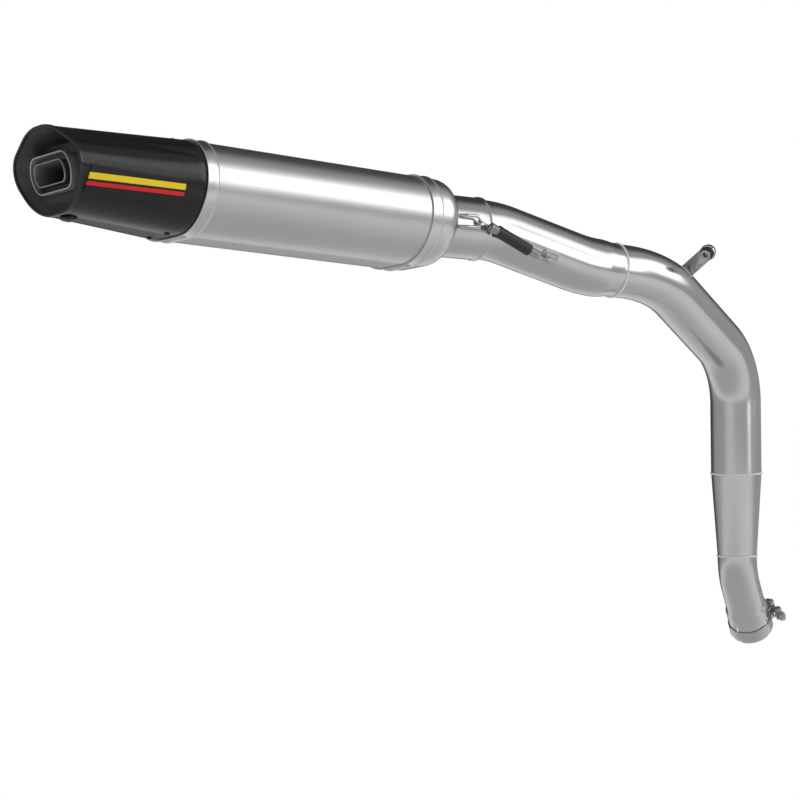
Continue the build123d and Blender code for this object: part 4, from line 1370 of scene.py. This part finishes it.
root_beads = []
width_dir = hanger_normal.cross(HANGER_REACH)
for side in (-1, 1):
    trail = []
    for k in range(15):
        start = head_centre - HANGER_REACH * 36 + width_dir * (k - 7) * 1.15 + hanger_normal * side * 2.2
        trail.append(on_pipe(start, 0.3))
    root_beads.append(weld_ripples("root_bead", trail, 1.3, tube_titanium))
settle(joined("hanger_plate", [strap] + root_beads), "link_pipe", "tube_titanium", "hanger_strap")

half_strap = HANGER_THICK / 2 + 0.05
bobbin_profile = rounded(
    [(3.9, -half_strap - 4.2), (7.6, -half_strap - 4.2), (7.6, -half_strap), (5.1, -half_strap),
     (5.1, half_strap), (7.6, half_strap), (7.6, half_strap + 4.2), (3.9, half_strap + 4.2)],
    [0.3, 1.2, 0.6, 0.2, 0.2, 0.6, 1.2, 0.3], steps=5, closed=True,
)
bobbin = turned_part("bobbin", bobbin_profile, head_centre, hanger_normal, rubber)
settle(bobbin, "hanger_bush", "rubber", "hanger_grommet")
spacer_corners = [(3.2, -7.5), (3.85, -7.5), (3.85, 6.5), (6.2, 6.5), (6.2, 7.5), (3.2, 7.5)]
spacer_profile = rounded(spacer_corners, [0.2] * 3 + [0.3] * 3, steps=3, closed=True)
spacer = turned_part("spacer", spacer_profile, head_centre, hanger_normal, steel)
settle(spacer, "hanger_bush", "hardware", "hanger_sleeve")

# %% [markdown]
# ## Header clamp
# The clamp is one strip of steel: round the socket, out along two ears, and back round
# two cross pins. The strip's middle line is drawn first, then offset to both sides and
# cut as a plate that is as thick as the clamp is wide.

# %% Clamp band
CLAMP_CENTRE = -MOUTH_DIR * 11
CLAMP_R, CLAMP_THICK, CLAMP_WIDTH = 25.95, 0.9, 15
BOLT_OUT, LOOP_AT, LOOP_R = 35.0, 8.6, 4.1
half_band = [(CLAMP_R * math.cos(t), CLAMP_R * math.sin(t)) for t in np.radians(range(180, 14, -4))]
half_band += [(26.0, 5.4), (26.8, 4.7), (28.2, 4.5), (31, 4.5)]
half_band += [
    (BOLT_OUT + LOOP_R * math.cos(t), LOOP_AT + LOOP_R * math.sin(t))
    for t in np.radians(range(-90, 176, 12))
]
middle = [(x, -y) for x, y in half_band[:0:-1]] + half_band
middle = [Vector((x, y)) for x, y in middle]
ends = [middle[0] * 2 - middle[1]] + middle + [middle[-1] * 2 - middle[-2]]
strip_normals = [Vector((b.y - a.y, a.x - b.x)).normalized() for a, b in zip(ends, ends[2:])]
strip = [p + n * CLAMP_THICK / 2 for p, n in zip(middle, strip_normals)]
strip += [p - n * CLAMP_THICK / 2 for p, n in zip(middle[::-1], strip_normals[::-1])]
clamp = plate("clamp_strip", strip, CLAMP_WIDTH, CLAMP_CENTRE, MOUTH_DIR, CLAMP_X, steel, edge=0.18)
gap_outline = [(-3.8, -20), (3.8, -20), (3.8, 20), (-3.8, 20)]
bolt_at = CLAMP_CENTRE + CLAMP_X * BOLT_OUT
bolt_gap = plate("bolt_gap", gap_outline, 7.6, bolt_at, MOUTH_DIR, CLAMP_X, steel, edge=0.01)
cut(clamp, bolt_gap)
settle(clamp, "clamp", "hardware", "clamp_band")

# %% Cross pins, bolt and nut
pins = []
for side in (-1, 1):
    corners = [(0, -8.5), (3.6, -8.5), (3.6, 8.5), (0, 8.5)]
    profile = rounded(corners, [0.01, 0.5, 0.5, 0.01], steps=4, closed=True)
    pins.append(turned_part("pin", profile, bolt_at + CLAMP_Y * side * LOOP_AT, MOUTH_DIR, steel, count=32))
settle(joined("cross_pins", pins), "clamp", "hardware", "clamp_trunnions")

EAR_FACE, BOLT_R, THREAD = 13.25, 3.0, 1.0
shank = [(0, -EAR_FACE - 4), (BOLT_R, -EAR_FACE - 4), (BOLT_R, EAR_FACE - 4)]
crest = EAR_FACE - 3.5
while crest < EAR_FACE + 8:
    shank += [(BOLT_R, crest), (BOLT_R - 0.35, crest + THREAD / 2)]
    crest += THREAD
shank += [(BOLT_R - 0.5, EAR_FACE + 9), (0, EAR_FACE + 9)]
bolt_parts = [turned_part("shank", shank, bolt_at, CLAMP_Y, steel, count=32)]
washer_low, washer_high = -EAR_FACE - 1.3, -EAR_FACE
washer_corners = [(0, washer_low), (5.9, washer_low), (5.9, washer_high), (0, washer_high)]
washer = rounded(washer_corners, [0.01, 0.4, 0.4, 0.01], steps=3, closed=True)
bolt_parts.append(turned_part("flange", washer, bolt_at, CLAMP_Y, steel, count=40))
head_at = bolt_at - CLAMP_Y * (EAR_FACE + 3.2)
bolt_parts.append(plate("hex", hexagon_points(9.0), 4, head_at, CLAMP_Y, CLAMP_X, steel, edge=0.5))
settle(joined("bolt", bolt_parts), "clamp_bolt", "hardware", "clamp_bolt")

flange = soft_ring(3.1, 5.9, EAR_FACE, EAR_FACE + 1.4, 0.4)
nut_parts = [turned_part("nut_flange", flange, bolt_at, CLAMP_Y, steel, count=40)]
nut_parts.append(
    plate(
        "nut_hex", hexagon_points(9.0), 4.6, bolt_at + CLAMP_Y * (EAR_FACE + 3.6), CLAMP_Y, CLAMP_X, steel,
        holes=[circle_points(3.1, 32)], edge=0.5,
    )
)
settle(joined("nut", nut_parts), "clamp_nut", "hardware", "clamp_nut")

# %% [markdown]
# ## Inside the silencer
# The gas runs through a perforated tube wrapped in glass wool. The tree makes one cell
# with a round hole, sets it on a flat grid, and rolls the sheet into a tube by turning
# each point's place across the sheet into an angle.

# %% Perforated core
CORE_R, ROWS, COLUMNS = 26.0, 26, 24
core_start, core_end = REAR_X + 24, FRONT_X - 21
group, tree, wires = node_group("perforated_sheet", ("Radius", "Length"))
place = tree.node("GeometryNodeInputPosition")
sheet_size = {
    "Size X": 2 * math.pi * (1 - 1 / COLUMNS),
    "Size Y": wires["Length"] * (1 - 1 / ROWS),
    "Vertices X": COLUMNS,
    "Vertices Y": ROWS,
}
grid = tree.node("GeometryNodeMeshGrid", inputs=sheet_size)
copies = tree.node("GeometryNodeInstanceOnPoints", inputs={0: grid, "Instance": wires["Geometry"]})
flat_sheet = tree.node("GeometryNodeRealizeInstances", inputs={0: copies})
x, y, _ = tree.split(place)
rolled = tree.join(y, x.math("COSINE") * wires["Radius"], x.math("SINE") * wires["Radius"])
tube_sheet = tree.node("GeometryNodeSetPosition", inputs={0: flat_sheet, "Position": rolled})
closed_sheet = tree.node("GeometryNodeMergeByDistance", inputs={0: tube_sheet, "Distance": 0.00005})
close_group(group, tree, closed_sheet, wires["Finish"])

cell_x, cell_y = 2 * math.pi / COLUMNS / 2, (core_end - core_start) * MM / ROWS / 2
HOLE_SHARE = 0.55
cell_verts, cell_faces = [], []
for k in range(16):
    angle = 2 * math.pi * k / 16
    c, s = math.cos(angle), math.sin(angle)
    reach = 1 / max(abs(c), abs(s))
    for size in (reach, HOLE_SHARE):
        cell_verts.append((cell_x * c * size, cell_y * s * size, 0))
    nxt = (k + 1) % 16
    cell_faces.append((2 * k, 2 * nxt, 2 * nxt + 1, 2 * k + 1))
cell = bpy.data.meshes.new("cell")
cell.from_pydata(cell_verts, [], cell_faces)
sizes = {"Radius": (CORE_R - 1) * MM, "Length": (core_end - core_start) * MM}
core = run_group("core", group, cell, inner_steel, sizes)
core_centre = Vector(((core_start + core_end) / 2, SILENCER_Y, SILENCER_Z)) * MM
core.data.transform(Matrix.Translation(core_centre))
thicken = core.modifiers.new("wall", "SOLIDIFY")
thicken.thickness = 1.0 * MM
thicken.offset = 1
plain(core)
settle(core, "silencer", "inner_steel", "perforated_core")

# %% [markdown]
# The wool is a soft blanket, so its outside is a shell with an uneven surface. Smooth
# noise from Blender's own library moves each point a little.

# %% Packing wool
from mathutils import noise as smooth_noise

wool_steps = [REAR_X + 27 + (SLEEVE_LENGTH - 52) * k / 60 for k in range(61)]
wool_outer = [section(x, BODY, -2.0) for x in wool_steps]
for ring in wool_outer:
    for k, p in enumerate(ring):
        inwards = (Vector((p.x, SILENCER_Y, SILENCER_Z)) - p).normalized()
        ring[k] = p + inwards * (1.0 + smooth_noise.noise(p * 0.12) + 0.6 * smooth_noise.noise(p * 0.5))
body_turns = np.arctan2(BODY_POINTS[:, 1], BODY_POINTS[:, 0])
wool_inner = [
    [Vector((x, SILENCER_Y + 27.0 * math.cos(t), SILENCER_Z + 27.0 * math.sin(t))) for t in body_turns]
    for x in wool_steps[::-1]
]
blanket = skin("wool_blanket", wool_outer + wool_inner, wool, loop=True, angle=80)
settle(blanket, "silencer", "wool", "packing_wool")

# %% [markdown]
# The sealed inner sheet parts stay as the CAD model has them: flat bulkheads, the tail
# tube and a small boss. They only need a finish.

# %% Finish of the parts kept from CAD
kept = ("insert_screw_boss", "tail_tube", "rear_bulkhead", "front_bulkhead")
for name in kept:
    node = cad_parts[name]
    node.data.materials.clear()
    node.data.materials.append(inner_steel)
print("kept from CAD:", ", ".join(kept))

# %% [markdown]
# ## Floor and light
# Metal shows what surrounds it, so the light is a large tent round the object, bright
# where a softbox and a narrow strip light stand, mid grey elsewhere and dark high up
# behind. The tent is hidden from the camera and seen by every other ray. The floor is a
# plain pale disc with a painted shadow: its glow is a little darker below the object,
# where a floor would lie in the object's shade.

# %% Floor, tent and world
world = bpy.data.worlds.new("studio")
bpy.context.scene.world = world
world.use_nodes = True
backdrop = world.node_tree.nodes["Background"]
backdrop.inputs["Color"].default_value = grey(1.0)
backdrop.inputs["Strength"].default_value = 1.0

floor_paint, tree, shader = material("floor_paint", {"Roughness": 0.9, "Specular IOR Level": 0.0})
shader.inputs["Base Color"].default_value = grey(0.60)
shader.inputs["Emission Strength"].default_value = 1.0
FLOOR_Z, FLOOR_R, TENT_R = -0.40, 2.6, 62.0
# Painted shadow: the floor's emission is darker near this point below the object and brightens with distance
# from it.
painted_shadow_centre = (-0.5, -0.07, FLOOR_Z)
points = {0: object_place(tree), 1: painted_shadow_centre}
distance = tree.node("ShaderNodeVectorMath", {"operation": "DISTANCE"}, points, output=1)
shade_from, shade_to = 0.4, 1.4
ends = {0: distance, 1: shade_from, 2: shade_to, 3: 0.0, 4: 1.0}
outside = tree.node("ShaderNodeMapRange", {"interpolation_type": "SMOOTHSTEP"}, ends)
tree.plug(shader.inputs["Emission Color"], tree.mix(outside, grey(0.30), grey(0.60)))
top, under_side = FLOOR_Z / MM, FLOOR_Z / MM - 10
floor_rings = [
    [Vector((r / MM * math.cos(t), r / MM * math.sin(t), z)) for t in np.radians(range(0, 360, 5))]
    for r, z in ((FLOOR_R, top), (0.001, top), (0.001, under_side), (FLOOR_R, under_side))
]
floor = skin("floor", floor_rings, floor_paint, loop=True)

tent_paint = bpy.data.materials.new("tent_paint")
tent_paint.use_nodes = True
tent_paint.node_tree.nodes.clear()
tree = Tree(tent_paint.node_tree)
direction = tree.node("ShaderNodeVectorMath", {"operation": "NORMALIZE"}, {0: object_place(tree)})


def patch(towards, inner, outer):
    """One inside a cone round a direction, fading to zero outside it."""
    aim = Vector(towards).normalized()
    pair = {0: direction, 1: tuple(aim)}
    dot = tree.node("ShaderNodeVectorMath", {"operation": "DOT_PRODUCT"}, pair, output=1)
    ends = {0: dot, 1: math.cos(math.radians(outer)), 2: math.cos(math.radians(inner)), 3: 0.0, 4: 1.0}
    return tree.node("ShaderNodeMapRange", {"interpolation_type": "SMOOTHSTEP"}, ends)


softbox = patch((0.64, -0.66, 0.36), 10, 24)
fill = patch((-0.95, -0.25, 0.1), 10, 34)
strip = patch((0.25, -0.96, 0.10), 5, 15)
behind = patch((0.35, 0.72, 0.62), 34, 62)
glow = 0.44 + softbox * 2.2 + strip * 3.6 + fill * 0.3 - behind * 0.38
emission = tree.node("ShaderNodeEmission", inputs={"Color": tree.join(glow, glow, glow)})
output = tent_paint.node_tree.nodes.new("ShaderNodeOutputMaterial")
tree.plug(output.inputs["Surface"], emission)

tent_mesh = bpy.data.meshes.new("tent")
ball = bmesh.new()
bmesh.ops.create_uvsphere(ball, u_segments=48, v_segments=24, radius=TENT_R)
ball.to_mesh(tent_mesh)
ball.free()
tent_mesh.materials.append(tent_paint)
tent = bpy.data.objects.new("tent", tent_mesh)
bpy.context.scene.collection.objects.link(tent)
tent.visible_camera = False

key_data = bpy.data.lights.new("key", "SUN")
key_data.energy = 0.5
key_data.angle = math.radians(50)
key = bpy.data.objects.new("key", key_data)
key.rotation_mode = "QUATERNION"
key.rotation_quaternion = Vector((0.30, -0.45, 0.85)).to_track_quat("Z", "Y")
bpy.context.scene.collection.objects.link(key)
bpy.context.scene.view_settings.view_transform = "Standard"
print("stage: floor at", FLOOR_Z, "m, tent of", TENT_R, "m")
